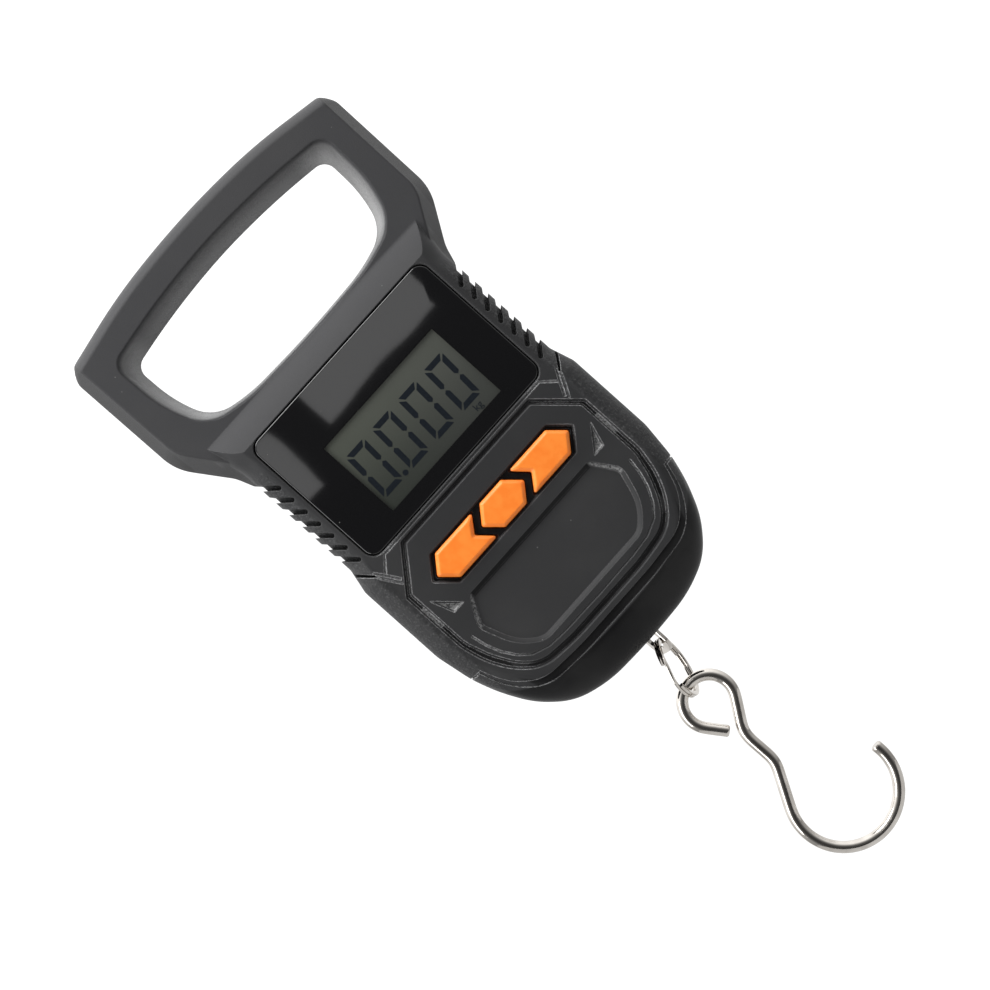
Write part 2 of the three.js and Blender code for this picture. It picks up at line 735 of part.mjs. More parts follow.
// ---- Power ---------------------------------------------------------------------------------

// An AAA cell lying along x, its raised contact towards `towards` (1 or -1).
function cell(z, towards) {
  const { radius, length, y, nub, nubLong } = CELL;
  const half = length / 2;
  const body = barX(y, z, radius, -half, half, 18);
  const inner = towards * (half - 1);
  const outer = towards * (half + nubLong);
  return joined(body, barX(y, z, nub, Math.min(inner, outer), Math.max(inner, outer), 10));
}

function springCoil(side, z) {
  const { turns, perTurn, coil, start, long } = SPRING;
  const steps = turns * perTurn;
  const points = [...Array(steps + 1).keys()].map((i) => {
    const angle = (i / perTurn) * 2 * Math.PI;
    const out = CELL.length / 2 + start + (i / steps) * long;
    const y = CELL.y + coil * Math.cos(angle);
    return new THREE.Vector3(side * out, y, z + coil * Math.sin(angle));
  });
  return wire(points, SPRING.wire, steps, 5);
}

function contactPlate(side, bottom, top) {
  const { thick, front, back } = CONTACT;
  const out = side * (TRAY.half - GAP);
  const inner = out - side * thick;
  return box(Math.min(out, inner), Math.max(out, inner), front, back, bottom, top);
}

// The dimple that a cell's raised end presses on.
function plusFace(side, z) {
  const near = side * (CELL.length / 2 + CELL.nubLong + GAP);
  const far = side * (TRAY.half - GAP - 0.2);
  return barX(CELL.y, z, CONTACT.dimple, Math.min(near, far), Math.max(near, far), 12);
}

function contactBridge() {
  const plate = contactPlate(1, CELL.lower - CONTACT.half, CELL.upper + CONTACT.half);
  return joined(plate, plusFace(1, CELL.upper), springCoil(1, CELL.lower));
}

function contactPlus() {
  const plate = contactPlate(-1, CELL.lower - CONTACT.half, CELL.lower + CONTACT.half);
  return joined(plate, plusFace(-1, CELL.lower));
}

function contactMinus() {
  const plate = contactPlate(-1, CELL.upper - CONTACT.half, CELL.upper + CONTACT.half);
  return joined(plate, springCoil(-1, CELL.upper));
}

function batteryCover() {
  const { half, top, bottom, thick } = COVER;
  const inner = BACK_Y - thick;
  const plate = slab(rectangle(-half, half, bottom, top, 0.8), inner, BACK_Y);
  const tongue = TONGUE;
  const low = bottom - tongue.below;
  const high = bottom + tongue.above;
  const tongues = bothSides((side) => {
    const x = side * tongue.x;
    return box(x - tongue.half, x + tongue.half, inner - tongue.thick, inner + 0.2, low, high);
  });
  const notch = THUMB_NOTCH;
  const thumb = rectangle(-notch.half, notch.half, notch.bottom, notch.top, 1.2);
  return cut(joined(plate, tongues), slab(thumb, BACK_Y - notch.deep, BACK_Y + BEYOND));
}

// ---- Fasteners and wires -------------------------------------------------------------------

function crossRecess(x, z, outer, deep) {
  const { arm, half } = CROSS;
  return joined(
    box(x - arm, x + arm, outer - deep, outer + BEYOND, z - half, z + half),
    box(x - half, x + half, outer - deep, outer + BEYOND, z - arm, z + arm),
  );
}

function caseScrew(x, z) {
  const { shank, head, headHeight, seat, tip } = CASE_SCREW;
  const headFront = seat + GAP;
  const screw = joined(
    barY(x, z, head, headFront, headFront + headHeight),
    barY(x, z, shank, tip, headFront + 0.2, 8),
  );
  return cut(screw, crossRecess(x, z, headFront + headHeight, 1));
}

function boardScrew(x, z) {
  const { shank, head, headHeight, tip } = BOARD_SCREW;
  const screw = joined(
    barY(x, z, head, BOARD_BACK, BOARD_BACK + headHeight),
    barY(x, z, shank, tip, BOARD_BACK + 0.2, 8),
  );
  return cut(screw, crossRecess(x, z, BOARD_BACK + headHeight, 0.6));
}

function beamScrew(x, z) {
  const { shank, head, headHeight, seat, tip } = BEAM_SCREW;
  const headBack = seat - GAP;
  return joined(
    barY(x, z, head, headBack - headHeight, headBack, 20),
    barY(x, z, shank, headBack - 0.2, tip),
  );
}

function gaugeCable() {
  const points = [
    [8, -4.7, -109],
    [13.5, -5, -110],
    [20.5, -4.8, -106.6],
    [22.4, -5, -98],
    [21, -5.1, -92],
  ];
  return wire(points.map((point) => new THREE.Vector3(...point)), GAUGE_CABLE, 20);
}

function batteryWire(x) {
  const points = [
    [x, -1.2, -69],
    [x, -3, -70.6],
    [x - 0.4, -4.8, -76],
    [x, -5.3, -84],
  ];
  return wire(points.map((point) => new THREE.Vector3(...point)), BATTERY_WIRE, 14, 6);
}

// ---- Assembly ------------------------------------------------------------------------------

const scale = new THREE.Group();

function place(name, solid, finish) {
  const mesh = new THREE.Mesh(geometryOf(solid), new THREE.MeshStandardMaterial(finish));
  mesh.name = name;
  scale.add(mesh);
}

place("front_shell", frontShell(), BLACK_CASE);
place("back_shell", backShell(), BLACK_CASE);
place("display_window", displayWindow(), BLACK_GLOSS);
place("lcd_panel", lcdPanel(), LCD_GLASS);
place("lcd_backlight", lcdBacklight(), LIGHT_GUIDE);
place("lcd_connector", lcdConnector(), RUBBER_GREY);
place("circuit_board", circuitBoard(), BOARD_GREEN);
place("controller_chip", controllerChip(), CHIP_BLACK);
place("buzzer", buzzer(), CHIP_BLACK);
for (const side of Object.keys(KEY_CENTRES)) {
  place(`key_${side}`, keyCap(side), ORANGE_KEY);
  place(`switch_${side}`, keySwitch(side), CHIP_BLACK);
  place(`plunger_${side}`, switchPlunger(side), STEEL);
}
place("load_cell", loadCell(), ALUMINIUM);
place("strain_gauge", strainGauge(), RUBBER_GREY);
place("gauge_cable", gaugeCable(), WIRE_BLACK);
place("pull_tab", pullTab(), NICKEL);
place("tab_pin", turnedTab(tabPin()), STEEL);
place("split_ring", splitRing(), NICKEL);
place("hook", hook(), NICKEL);
place("cell_upper", cell(CELL.upper, 1), CELL_SLEEVE);
place("cell_lower", cell(CELL.lower, -1), CELL_SLEEVE);
place("contact_bridge", contactBridge(), STEEL);
place("contact_plus", contactPlus(), STEEL);
place("contact_minus", contactMinus(), STEEL);
place("battery_wire_red", batteryWire(-21.9), WIRE_RED);
place("battery_wire_black", batteryWire(-23.3), WIRE_BLACK);
place("battery_cover", batteryCover(), BLACK_CASE);
for (const [side, word] of [[1, "right"], [-1, "left"]]) {
  for (const [at, [x, z]] of Object.entries(CASE_SCREW_PLACES)) {
    place(`case_screw_${at}_${word}`, caseScrew(side * x, z), STEEL);
  }
  for (const [i, [x, z]] of BOARD_SCREW_PLACES.entries()) {
    place(`board_screw_${i ? "lower" : "upper"}_${word}`, boardScrew(side * x, z), STEEL);
  }
  const [x, z] = BEAM_SCREW_PLACE;
  place(`load_cell_screw_${word}`, beamScrew(side * x, z), STEEL);
}

export default scale;
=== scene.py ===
import math

import bmesh
import bpy
import numpy as np
from mathutils import Matrix, Vector


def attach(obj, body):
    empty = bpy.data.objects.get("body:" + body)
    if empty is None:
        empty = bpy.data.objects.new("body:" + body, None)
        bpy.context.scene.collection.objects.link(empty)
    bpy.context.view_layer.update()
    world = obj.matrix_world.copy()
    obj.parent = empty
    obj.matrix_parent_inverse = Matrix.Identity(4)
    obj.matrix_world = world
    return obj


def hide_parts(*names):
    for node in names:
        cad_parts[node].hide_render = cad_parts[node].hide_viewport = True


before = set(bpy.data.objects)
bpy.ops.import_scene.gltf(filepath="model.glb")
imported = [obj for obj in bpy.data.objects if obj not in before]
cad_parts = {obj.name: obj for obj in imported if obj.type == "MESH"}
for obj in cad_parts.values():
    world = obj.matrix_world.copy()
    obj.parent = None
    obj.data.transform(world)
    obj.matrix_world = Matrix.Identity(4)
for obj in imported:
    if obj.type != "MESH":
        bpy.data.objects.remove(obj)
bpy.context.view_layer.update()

# ---- The room ------------------------------------------------------------------------------
# A white studio: air that glows overhead and behind the scale, a pale floor disc far below, soft
# boxes at the top and left, and two small ones that the window shines back. The camera is rolled.
MM = 0.001
ROLL = math.radians(48.2)
AIM_X, AIM_Z = 0.9, -90.1
STAND_OFF, STAND_LEFT = 431.0, 11.0
FOCAL, SENSOR = 63.2, 36
backwards = Vector((-STAND_LEFT, -STAND_OFF, 0)).normalized()
level, plumb = Vector((STAND_OFF, -STAND_LEFT, 0)).normalized(), Vector((0, 0, 1))
across = level * math.cos(ROLL) - plumb * math.sin(ROLL)
upward = level * math.sin(ROLL) + plumb * math.cos(ROLL)
place = Matrix((across, upward, backwards)).transposed().to_4x4()
place.translation = Vector((AIM_X - STAND_LEFT, -STAND_OFF, AIM_Z)) * MM

lens = bpy.data.cameras.new("view")
lens.sensor_width, lens.lens = SENSOR, FOCAL
lens.clip_start = 10 * MM
eye = bpy.data.objects.new("view", lens)
eye.matrix_world = place
bpy.context.scene.collection.objects.link(eye)
bpy.context.scene.camera = eye
bpy.context.scene.view_settings.view_transform = "Standard"

air = bpy.data.worlds.new("white_air")
air.use_nodes = True
sky = air.node_tree
split = sky.nodes.new("ShaderNodeSeparateXYZ")
sky.links.new(sky.nodes.new("ShaderNodeTexCoord").outputs["Generated"], split.inputs[0])


def sky_slope(axis, low, high, dim, bright):
    """Brightness going smoothly from `dim` to `bright` as the direction's axis goes from low to high."""
    slope = sky.nodes.new("ShaderNodeMapRange")
    slope.interpolation_type = "SMOOTHSTEP"
    for socket, value in (("From Min", low), ("From Max", high), ("To Min", dim), ("To Max", bright)):
        slope.inputs[socket].default_value = value
    sky.links.new(split.outputs[axis], slope.inputs["Value"])
    return slope.outputs[0]


def sky_sum(operation, one, other):
    """Two brightnesses put together by a Math node."""
    term = sky.nodes.new("ShaderNodeMath")
    term.operation = operation
    sky.links.new(one, term.inputs[0])
    sky.links.new(other, term.inputs[1])
    return term.outputs[0]


overhead = sky_slope("Z", low=-0.65, high=0.75, dim=0.32, bright=1.7)
behind_lens = sky_slope("Y", low=-1.0, high=-0.35, dim=0.10, bright=1.0)
backdrop = sky_slope("Y", low=0.45, high=0.75, dim=0.0, bright=1.12)
glow = sky_sum("MAXIMUM", sky_sum("MULTIPLY", overhead, behind_lens), backdrop)
sky.nodes["Background"].inputs["Color"].default_value = (1, 1, 1, 1)
sky.links.new(glow, sky.nodes["Background"].inputs["Strength"])
bpy.context.scene.world = air


def soft_box(name, at, towards, wide, high, power):
    """A rectangular lamp at a point, turned to face another, both in mm; its sides are in metres."""
    lamp = bpy.data.lights.new(name, "AREA")
    lamp.shape, lamp.size, lamp.size_y, lamp.energy = "RECTANGLE", wide, high, power
    box = bpy.data.objects.new(name, lamp)
    box.location = Vector(at) * MM
    box.rotation_euler = (Vector(towards) - Vector(at)).to_track_quat("-Z", "Y").to_euler()
    box.visible_camera = False
    bpy.context.scene.collection.objects.link(box)


soft_box("soft_box_top", at=(-60, -190, 380), towards=(0, 0, -60), wide=0.42, high=0.22, power=2.7)
soft_box("soft_box_left", at=(-430, -230, -60), towards=(0, 0, -90), wide=0.2, high=0.5, power=1.2)
soft_box("soft_box_over_camera", at=(24, -436, 8), towards=(24, 0, 8), wide=0.080, high=0.032, power=0.0152)
soft_box("soft_box_by_camera", at=(-50, -436, -6), towards=(-50, 0, -6), wide=0.02, high=0.036, power=0.0043)

FLOOR_Z, FLOOR_REACH, FLOOR_SIDES = -900, 1250, 96
about = np.linspace(0, 2 * math.pi, FLOOR_SIDES, endpoint=False)
floor_edge = [FLOOR_REACH * np.cos(about), FLOOR_REACH * np.sin(about), np.full(FLOOR_SIDES, FLOOR_Z)]
floor_mesh = bpy.data.meshes.new("floor")
floor_mesh.from_pydata((np.column_stack(floor_edge) * MM).tolist(), [], [tuple(range(FLOOR_SIDES))])
floor = bpy.data.objects.new("floor", floor_mesh)
bpy.context.scene.collection.objects.link(floor)
pale = bpy.data.materials.new("pale_floor")
pale.use_nodes = True
paint = pale.node_tree.nodes["Principled BSDF"]
paint.inputs["Base Color"].default_value = (0.5, 0.5, 0.5, 1)
paint.inputs["Roughness"].default_value = 0.9
floor_mesh.materials.append(pale)


# ---- Case halves ---------------------------------------------------------------------------
# Two moulded halves of black ABS that meet on a plane through the hand loop, held by six screws.
# The face half carries the window, key recess and channels, the other half the cell bay.
class Level:
    """A node's output that does sums: each operator adds the Math node it stands for."""

    def __init__(self, finish, socket):
        self.finish, self.socket = finish, socket

    def math(self, operation, *terms):
        """The Math node for an operation on terms that are levels or numbers."""
        return self.finish.node("Math", {"operation": operation}, dict(enumerate(terms)))

    def __add__(self, other):
        return self.math("ADD", self, other)

    def __sub__(self, other):
        return self.math("SUBTRACT", self, other)

    def __rsub__(self, other):
        return self.math("SUBTRACT", other, self)

    def __mul__(self, other):
        return self.math("MULTIPLY", self, other)

    def __truediv__(self, other):
        return self.math("DIVIDE", self, other)

    def __pow__(self, other):
        return self.math("POWER", self, other)

    def __abs__(self):
        return self.math("ABSOLUTE", self)

    __radd__, __rmul__ = __add__, __mul__

    def above(self, low, high, ends=(0.0, 1.0)):
        """0 below low, 1 above high, and a smooth slope from one to the other."""
        sockets = {"Value": self, "From Min": low, "From Max": high, "To Min": ends[0], "To Max": ends[1]}
        return self.finish.node("MapRange", {"interpolation_type": "SMOOTHSTEP"}, sockets)

    def below(self, low, high):
        """1 below low, 0 above high, and a smooth slope from one to the other."""
        return self.above(low, high, (1.0, 0.0))


class Finish:
    """A material being put together round one Principled shader."""

    def __init__(self, name):
        self.material = bpy.data.materials.new(name)
        self.material.use_nodes = True
        self.tree = self.material.node_tree
        self.shader = self.tree.nodes["Principled BSDF"]
        where = self.node("TexCoord", out="Object")
        self.at = self.node("VectorMath", {"operation": "SCALE"}, {0: where, "Scale": 1 / MM})
        self.x, self.y, self.z = (self.node("SeparateXYZ", {}, {0: self.at}, out=i) for i in range(3))

    def node(self, kind, settings=None, sockets=None, out=0):
        """Adds one ShaderNode: its type, then its settings, then the values or links of its sockets."""
        made = self.tree.nodes.new("ShaderNode" + kind)
        for name, value in (settings or {}).items():
            setattr(made, name, value)
        for name, value in (sockets or {}).items():
            if isinstance(value, Level):
                self.tree.links.new(value.socket, made.inputs[name])
            else:
                made.inputs[name].default_value = value
        return Level(self, made.outputs[out])

    def noise(self, per_mm, detail=3.0, rough=0.5, where=None):
        """Noise with `per_mm` humps to a millimetre."""
        sockets = {"Vector": where or self.at, "Scale": per_mm, "Detail": detail, "Roughness": rough}
        return self.node("TexNoise", {}, sockets)

    def mix(self, factor, one, other):
        """A colour that goes from one to the other; each is a link or three numbers."""
        full = [c if isinstance(c, Level) else (*c, 1) for c in (one, other)]
        sockets = {0: factor, 6: full[0], 7: full[1]}
        return self.node("Mix", {"data_type": "RGBA"}, sockets, out=2)

    def edges(self, reach=0.22, sharp=0.22):
        """The normal softened over `reach` mm, and how much of an edge is there, the mask for painted
        edge highlights: 0 on a flat, 1 where the softened normal and the true one differ by
        `sharp`."""
        softened = self.node("Bevel", {"samples": 4}, {"Radius": reach * MM})
        flat = self.node("NewGeometry", out="Normal")
        same = self.node("VectorMath", {"operation": "DOT_PRODUCT"}, {0: softened, 1: flat}, out="Value")
        return softened, (1 - same).above(0.01, sharp)

    def set(self, **values):
        """Sets or links the shader's own sockets, named with _ for a space."""
        for name, value in values.items():
            socket = self.shader.inputs[name.replace("_", " ")]
            if isinstance(value, Level):
                self.tree.links.new(value.socket, socket)
            else:
                socket.default_value = value if not isinstance(value, tuple) else (*value, 1)[:4]
        return self

    def relief(self, height, depth, normal=None):
        """Raises the surface by height times depth in mm."""
        sockets = {"Height": height, "Distance": depth * MM, "Strength": 1.0}
        if normal is not None:
            sockets["Normal"] = normal
        return self.set(Normal=self.node("Bump", {}, sockets))


FACE_Y, BACK_Y, LOOP_Y = -15.0, 13.0, 11.0
SEAM = 0.05
FIELD_TOP, FIELD_FOOT = -79.0, -132.5


def case_plastic():
    """Spark-textured black ABS: fine pits all over, coarser on the sides, a smoother lower cap, and
    painted light and shade: highlights along edges, sheen on the opening's walls, shade in recesses
    and on the cap, and a paler loop. A mask is a product of slopes between places, in mm."""
    f = Finish("case_plastic")
    rounding, edge_sheen = f.edges(0.34, 0.12)
    wide = abs(f.x)

    # The lower cap's upper edge is a superellipse; the sides are rough below the loop, and so are
    # the walls of the finger opening, which on the face half take a painted sheen, paler to the seam.
    drop = (-114.5 - f.z) / 17.4
    cap = (wide / 35.4) ** 2.6 + drop.math("MAXIMUM", drop, 0.0) ** 2.6
    cap = cap.above(0.97, 1.03) * f.z.below(-116.0, -115.2)
    side = wide.above(31.8, 33.2) * f.z.below(-47, -41) * (1 - cap)
    wall = f.z.above(-37, -31) * f.z.below(3.3, 3.9) * wide.below(38.3, 38.9) * abs(f.y).below(8.4, 10.6)
    wall_sheen = wall * (1 - 0.3 * f.y.above(-9, -0.5)) * (0.25 + 0.75 * f.y.above(-9, -1)) * f.y.below(0.6, 1.6)

    # What is sunk into the lower field of the face: channels, the pad with its corners and head, and
    # the small facets beside it; the channels and the pad's head wall take painted shade. The field's
    # flat narrows towards its foot.
    narrowing = -114 - f.z
    flat_half = 31.9 - 0.37 * narrowing.math("MAXIMUM", narrowing, 0.0)
    field = f.z.above(FIELD_FOOT - 0.5, FIELD_FOOT + 0.5) * f.z.below(FIELD_TOP - 0.5, FIELD_TOP + 0.5)
    field = field * wide.below(32.3, 32.9) * f.y.below(-12.7, -12.5) * (flat_half - wide).above(-0.3, 0.3)
    sunk_in = field * f.y.above(-14.7, -14.45)
    pad = f.z.above(-123.4, -123.0) * f.z.below(-101.1, -100.9) * wide.below(26.8, 27.2)
    pad_head_shade = pad * field * f.z.above(-102.8, -102.6) * wide.below(20.6, 21.0) * f.y.above(-14.95, -14.85)
    pad_corner = pad * field * wide.above(20.6, 21.6) * f.z.above(-109.5, -108.5)
    pad_corner = pad_corner * f.y.above(-14.9, -14.8) * f.y.below(-14.25, -14.15)
    facet = wide.above(23.1, 23.5) * f.z.above(-101.9, -101.7) * f.z.below(-95.3, -95.1)
    trim = wide.above(21, 26) * f.z.below(FIELD_TOP - 1, FIELD_TOP + 1)

    pits, coarse, bumps = f.noise(5.2, 2.0, 0.6), f.noise(1.9, 4.0, 0.62), f.noise(0.85, 3.0, 0.6)
    cloud = f.noise(0.045, 3.0)
    speck = f.node("TexVoronoi", {}, {"Vector": f.at, "Scale": 0.16, "Randomness": 1.0}).below(0.018, 0.03)
    # Painted light: above the waist the loop is painted paler than the body below, for the stronger light
    # falling on it from above; only the loop's outer side band keeps the body's darker tone.
    tone = f.mix(f.z.below(-42, -32), (0.039, 0.039, 0.041), (0.0235, 0.0237, 0.0247))
    coats = [
        (wide.above(43.7, 44.1), (0.024, 0.024, 0.025)),  # outer edge of the hand loop
        (pad * sunk_in, (0.029, 0.029, 0.030)),  # floor of the pad
        (cap, (0.002, 0.002, 0.0024)),  # the smoother lower cap, with painted shade darkening its downward slope
        (pad_head_shade, (0.005, 0.005, 0.0055)),  # painted shade on the pad's upper wall, which faces down
        (sunk_in * (1 - pad) * (1 - facet), (0.004, 0.004, 0.0045)),  # painted shade in the channels
        (cloud.above(0.4, 0.8) * 0.2, (0.06, 0.059, 0.058)),  # dull patches from handling
        (wall_sheen, (0.22, 0.22, 0.221)),  # painted sheen on the walls of the finger opening
        (wall_sheen * wide.above(27, 33), (0.36, 0.36, 0.361)),  # a painted highlight at its two ends, paler still
        (coarse.above(0.5, 0.75) * (side + wall) * 0.5, (0.12, 0.12, 0.121)),  # tops of the coarse grain
        ((facet * sunk_in + pad_corner) * coarse.above(0.35, 0.6), (0.2, 0.2, 0.2)),  # rubbed facets
        (edge_sheen * (0.12 + 0.88 * trim * coarse.above(0.3, 0.62)), (0.45, 0.45, 0.455)),  # painted highlights along the edges
        (speck * 0.3, (0.3, 0.3, 0.29)),  # dust
    ]
    for mask, color in coats:
        tone = f.mix(mask, tone, color)
    rough = 0.56 + 0.12 * (pits - 0.5) - 0.14 * cap - 0.1 * edge_sheen + 0.1 * (cloud - 0.5)
    height = pits * (0.35 + 0.25 * wall - 0.2 * cap) + coarse * (0.9 * side + 0.9 * wall + 0.12)
    height = height + bumps * (2.6 * side + 1.2 * wall)
    f.set(Base_Color=tone, Roughness=rough, Specular_IOR_Level=0.18)
    return f.relief(height, 0.13, rounding).material


CASE_FINISH = case_plastic()
LEAST_RADIUS = 0.05


def bends(corners):
    """For corners (x, z, radius): points, radii, unit runs back and on, half angles, bisectors, and
    1 where the outline bulges or -1 where it dips."""
    point = np.array([c[:2] for c in corners], float)
    radius = np.array([c[2] if len(c) > 2 else LEAST_RADIUS for c in corners], float)
    back = np.roll(point, 1, 0) - point
    on = np.roll(point, -1, 0) - point
    area = (point[:, 0] * on[:, 1] - point[:, 1] * on[:, 0]).sum()
    back /= np.linalg.norm(back, axis=1)[:, None]
    on /= np.linalg.norm(on, axis=1)[:, None]
    half = np.arccos(np.clip((back * on).sum(1), -1, 1)) / 2
    middle = back + on
    middle /= np.maximum(np.linalg.norm(middle, axis=1), 1e-9)[:, None]
    bulge = np.sign((on[:, 0] * back[:, 1] - on[:, 1] * back[:, 0]) * area)
    return point, radius, back, on, half, middle, bulge


def grown(corners, by):
    """Every side moved out by `by`: a corner slides along its bisector by `by` over the sine of half
    its angle, and its radius grows by as much."""
    point, radius, _, _, half, middle, bulge = bends(corners)
    moved = point - middle * (bulge * by / np.sin(half))[:, None]
    return np.column_stack([moved, np.maximum(radius + bulge * by, LEAST_RADIUS)])


def rounded(corners, steps=8):
    """Outline points: each corner gives way to an arc about the point on its bisector that lies
    radius / sin(half angle) in, turned evenly from one side to the other."""
    point, radius, back, on, half, middle, _ = bends(corners)
    centre = point + middle * (radius / np.sin(half))[:, None]
    reach = (radius / np.tan(half))[:, None]
    start, end = point + back * reach - centre, point + on * reach - centre
    sweep = np.maximum(math.pi - 2 * half, 1e-4)[:, None]
    t = np.linspace(0, 1, steps + 1)[None, :]
    first, last = np.sin((1 - t) * sweep) / np.sin(sweep), np.sin(t * sweep) / np.sin(sweep)
    arc = centre[:, None] + first[..., None] * start[:, None] + last[..., None] * end[:, None]
    return arc.reshape(-1, 2)


def mirrored(corners):
    """Corners given down the right side, and their reflection up the left."""
    left = [(-c[0], *c[1:]) for c in corners if c[0] != 0]
    return list(corners) + left[::-1]


def rectangle(left, right, bottom, top, radius=LEAST_RADIUS):
    """The four corners of a rectangle."""
    return [(right, top, radius), (right, bottom, radius), (left, bottom, radius), (left, top, radius)]


def circle(x, z, radius, sides=40):
    """Points (x + r cos a, z + r sin a) for a once round."""
    turn = np.linspace(0, 2 * math.pi, sides, endpoint=False)
    return np.column_stack([x + radius * np.cos(turn), z + radius * np.sin(turn)])


def solid(name, points, faces):
    """An object from points in mm, its faces turned outwards."""
    mesh = bpy.data.meshes.new(name)
    mesh.from_pydata((np.asarray(points) * MM).tolist(), [], faces)
    form = bmesh.new()
    form.from_mesh(mesh)
    if form.calc_volume(signed=True) < 0:
        mesh.flip_normals()
    form.free()
    made = bpy.data.objects.new(name, mesh)
    bpy.context.scene.collection.objects.link(made)
    return made


def lofted(name, rings):
    """Closed solid through rings of points (levels by points by xyz), with a flat cap at each end."""
    rows, count = rings.shape[:2]
    grid = np.arange(rows * count).reshape(rows, count)
    low, high = grid[:-1], grid[1:]
    sides = np.stack([low, np.roll(low, -1, 1), np.roll(high, -1, 1), high], -1).reshape(-1, 4)
    return solid(name, rings.reshape(-1, 3), sides.tolist() + [grid[0][::-1].tolist(), grid[-1].tolist()])


def stacked(name, levels):
    """Closed solid whose outline in x and z changes along y: levels are (y, outline points)."""
    return lofted(name, np.array([np.insert(outline, 1, y, axis=1) for y, outline in levels]))


def spread(name, corners, run, steps=8):
    """An outline carried along y and moved out as it goes: `run` holds pairs of y and how far out."""
    return stacked(name, [(y, rounded(grown(corners, by), steps)) for y, by in run])


def prism(name, corners, front, back, lip=0.0, steps=8):
    """An outline carried straight along y, drawn in by `lip` over the last `lip` at both ends."""
    run = [(front, -lip), (front + lip, 0), (back - lip, 0), (back, -lip)] if lip else [(front, 0), (back, 0)]
    return spread(name, corners, run, steps)


def block(left, right, front, back, bottom, top):
    """A plain block."""
    return prism("block", rectangle(left, right, bottom, top), front, back, steps=1)


def bar(x, z, radius, front, back, sides=32):
    """A round bar along y."""
    return stacked("bar", [(y, circle(x, z, radius, sides)) for y in (front, back)])


def joined(piece, *tools, how="UNION"):
    """The piece after each tool has been added to it, or cut from it; the tools are used up."""
    for tool in tools:
        step = piece.modifiers.new("step", "BOOLEAN")
        step.object, step.operation, step.solver = tool, how, "MANIFOLD"
        graph = bpy.context.evaluated_depsgraph_get()
        mesh = bpy.data.meshes.new_from_object(piece.evaluated_get(graph))
        piece.modifiers.clear()
        piece.data = mesh
        bpy.data.objects.remove(tool)
    return piece


def cut(piece, *tools):
    """The piece with each tool cut from it."""
    return joined(piece, *tools, how="DIFFERENCE")


def both(make):
    """Two tools, one for each side: make(1) and make(-1)."""
    return [make(side) for side in (1, -1)]


def settle(piece, name, material, slot, body, *replaced, sharp=32):
    piece.name = piece.data.name = name
    piece.data.shade_smooth()
    piece.data.set_sharp_from_angle(angle=math.radians(sharp))
    weigh = piece.modifiers.new("even_normals", "WEIGHTED_NORMAL")
    weigh.keep_sharp = True
    piece.data.materials.clear()
    piece.data.materials.append(material)
    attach(piece, body)
    if replaced:
        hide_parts(*replaced)


LOOP_OUTSIDE = mirrored(
    [(0, 13.0, 230), (25, 11.4, 150), (47.5, 7.2, 4.4), (47.1, -27.2, 14), (38.8, -39.8, 12), (36.3, -47)]
)
OPENING_MIDDLE = mirrored(
    [(0, 0.28, 170), (20, -0.9, 200), (34.9, -3.1, 3.5), (34.6, -15, 36)]
    + [(31.2, -25.6, 9.8), (20, -28.2, 46), (0, -28.9, 300)]
)
OPENING_FACE = mirrored(
    [(0, 3.1, 170), (20, 1.9, 200), (37.8, -0.6, 3.9), (37.4, -15.5, 36)]
    + [(33.4, -27.4, 10.4), (20.6, -30.3, 46), (0, -31.0, 300)]
)
BODY_OUTSIDE = mirrored(
    [
        (0, -24),
        (39.6, -24, 1),
        (38.4, -31, 12),
        (36.3, -41, 12),
        (36.4, -76.2, 3),
        (38.1, -82.5, 6),
        (38.1, -106, 16),
        (36.6, -116, 34),
        (34.4, -123, 44),
        (30.4, -131.2, 26),
        (23.6, -138.2, 18),
        (14, -141.3, 34),
        (0, -141.9, 160),
    ]
)


SIDE_LEAN, TOP_ROLL, FACE_EDGE = 3.6, 4.7, 0.4


def loop_outline(depth):
    """The hand loop's outline at a depth from the seam: its sides draw in evenly to SIDE_LEAN at the
    face and its top rolls over in a quarter ellipse; a last small radius rounds the face's edge."""
    def rolled(reach, start, run):
        """How far in a quarter ellipse has turned that starts at `start` and takes `run` to turn."""
        return reach * (1 - math.sqrt(1 - np.clip((depth - start) / run, 0, 1) ** 2))

    side = SIDE_LEAN * np.clip((depth - 1) / 10, 0, 1)
    points = rounded(grown(LOOP_OUTSIDE, -side - rolled(FACE_EDGE, 10.6, FACE_EDGE)))
    points[:, 1] -= (rolled(TOP_ROLL, 3, 8.2) - side) * np.clip(points[:, 1] / 6, 0, 1)
    return points


CAP_SHOULDER, CAP_SLOPE = -108, 0.034


def body_outline(inset):
    """The body's outline drawn in by `inset`; below the keys it also draws up, for the sloping cap."""
    points = rounded(grown(BODY_OUTSIDE, -inset))
    low = np.minimum(points[:, 1] - CAP_SHOULDER, 0)
    points[:, 1] -= low * CAP_SLOPE * inset
    return points


LOOP_LEVELS = (11, 10.93, 10.8, 10.6, 10, 9, 7.5, 5.5, 3, 1, 0.5)
RIM_DEEP, RIM_WIDE = 8.0, 4.9


def case_half(side, face, crease):
    """One half's outer form, side being -1 for the face half: the loop and the body joined. The
    body's edge is a round of depth RIM_DEEP that starts `crease` degrees off the flat."""
    loop = [(side * depth, loop_outline(depth)) for depth in LOOP_LEVELS]
    loop += [(side * SEAM, rounded(grown(LOOP_OUTSIDE, -0.2)))]
    turns = np.radians(np.linspace(crease, 90, 11))
    high, wide = RIM_DEEP / math.cos(turns[0]), RIM_WIDE / (1 - math.sin(turns[0]))
    rim = [(abs(face) - RIM_DEEP + high * math.cos(t), wide * (1 - math.sin(t))) for t in turns]
    body = [(side * depth, body_outline(inset)) for depth, inset in rim + [(0.5, 0), (SEAM, 0.2)]]
    return joined(stacked("case_half", loop), stacked("body", body))


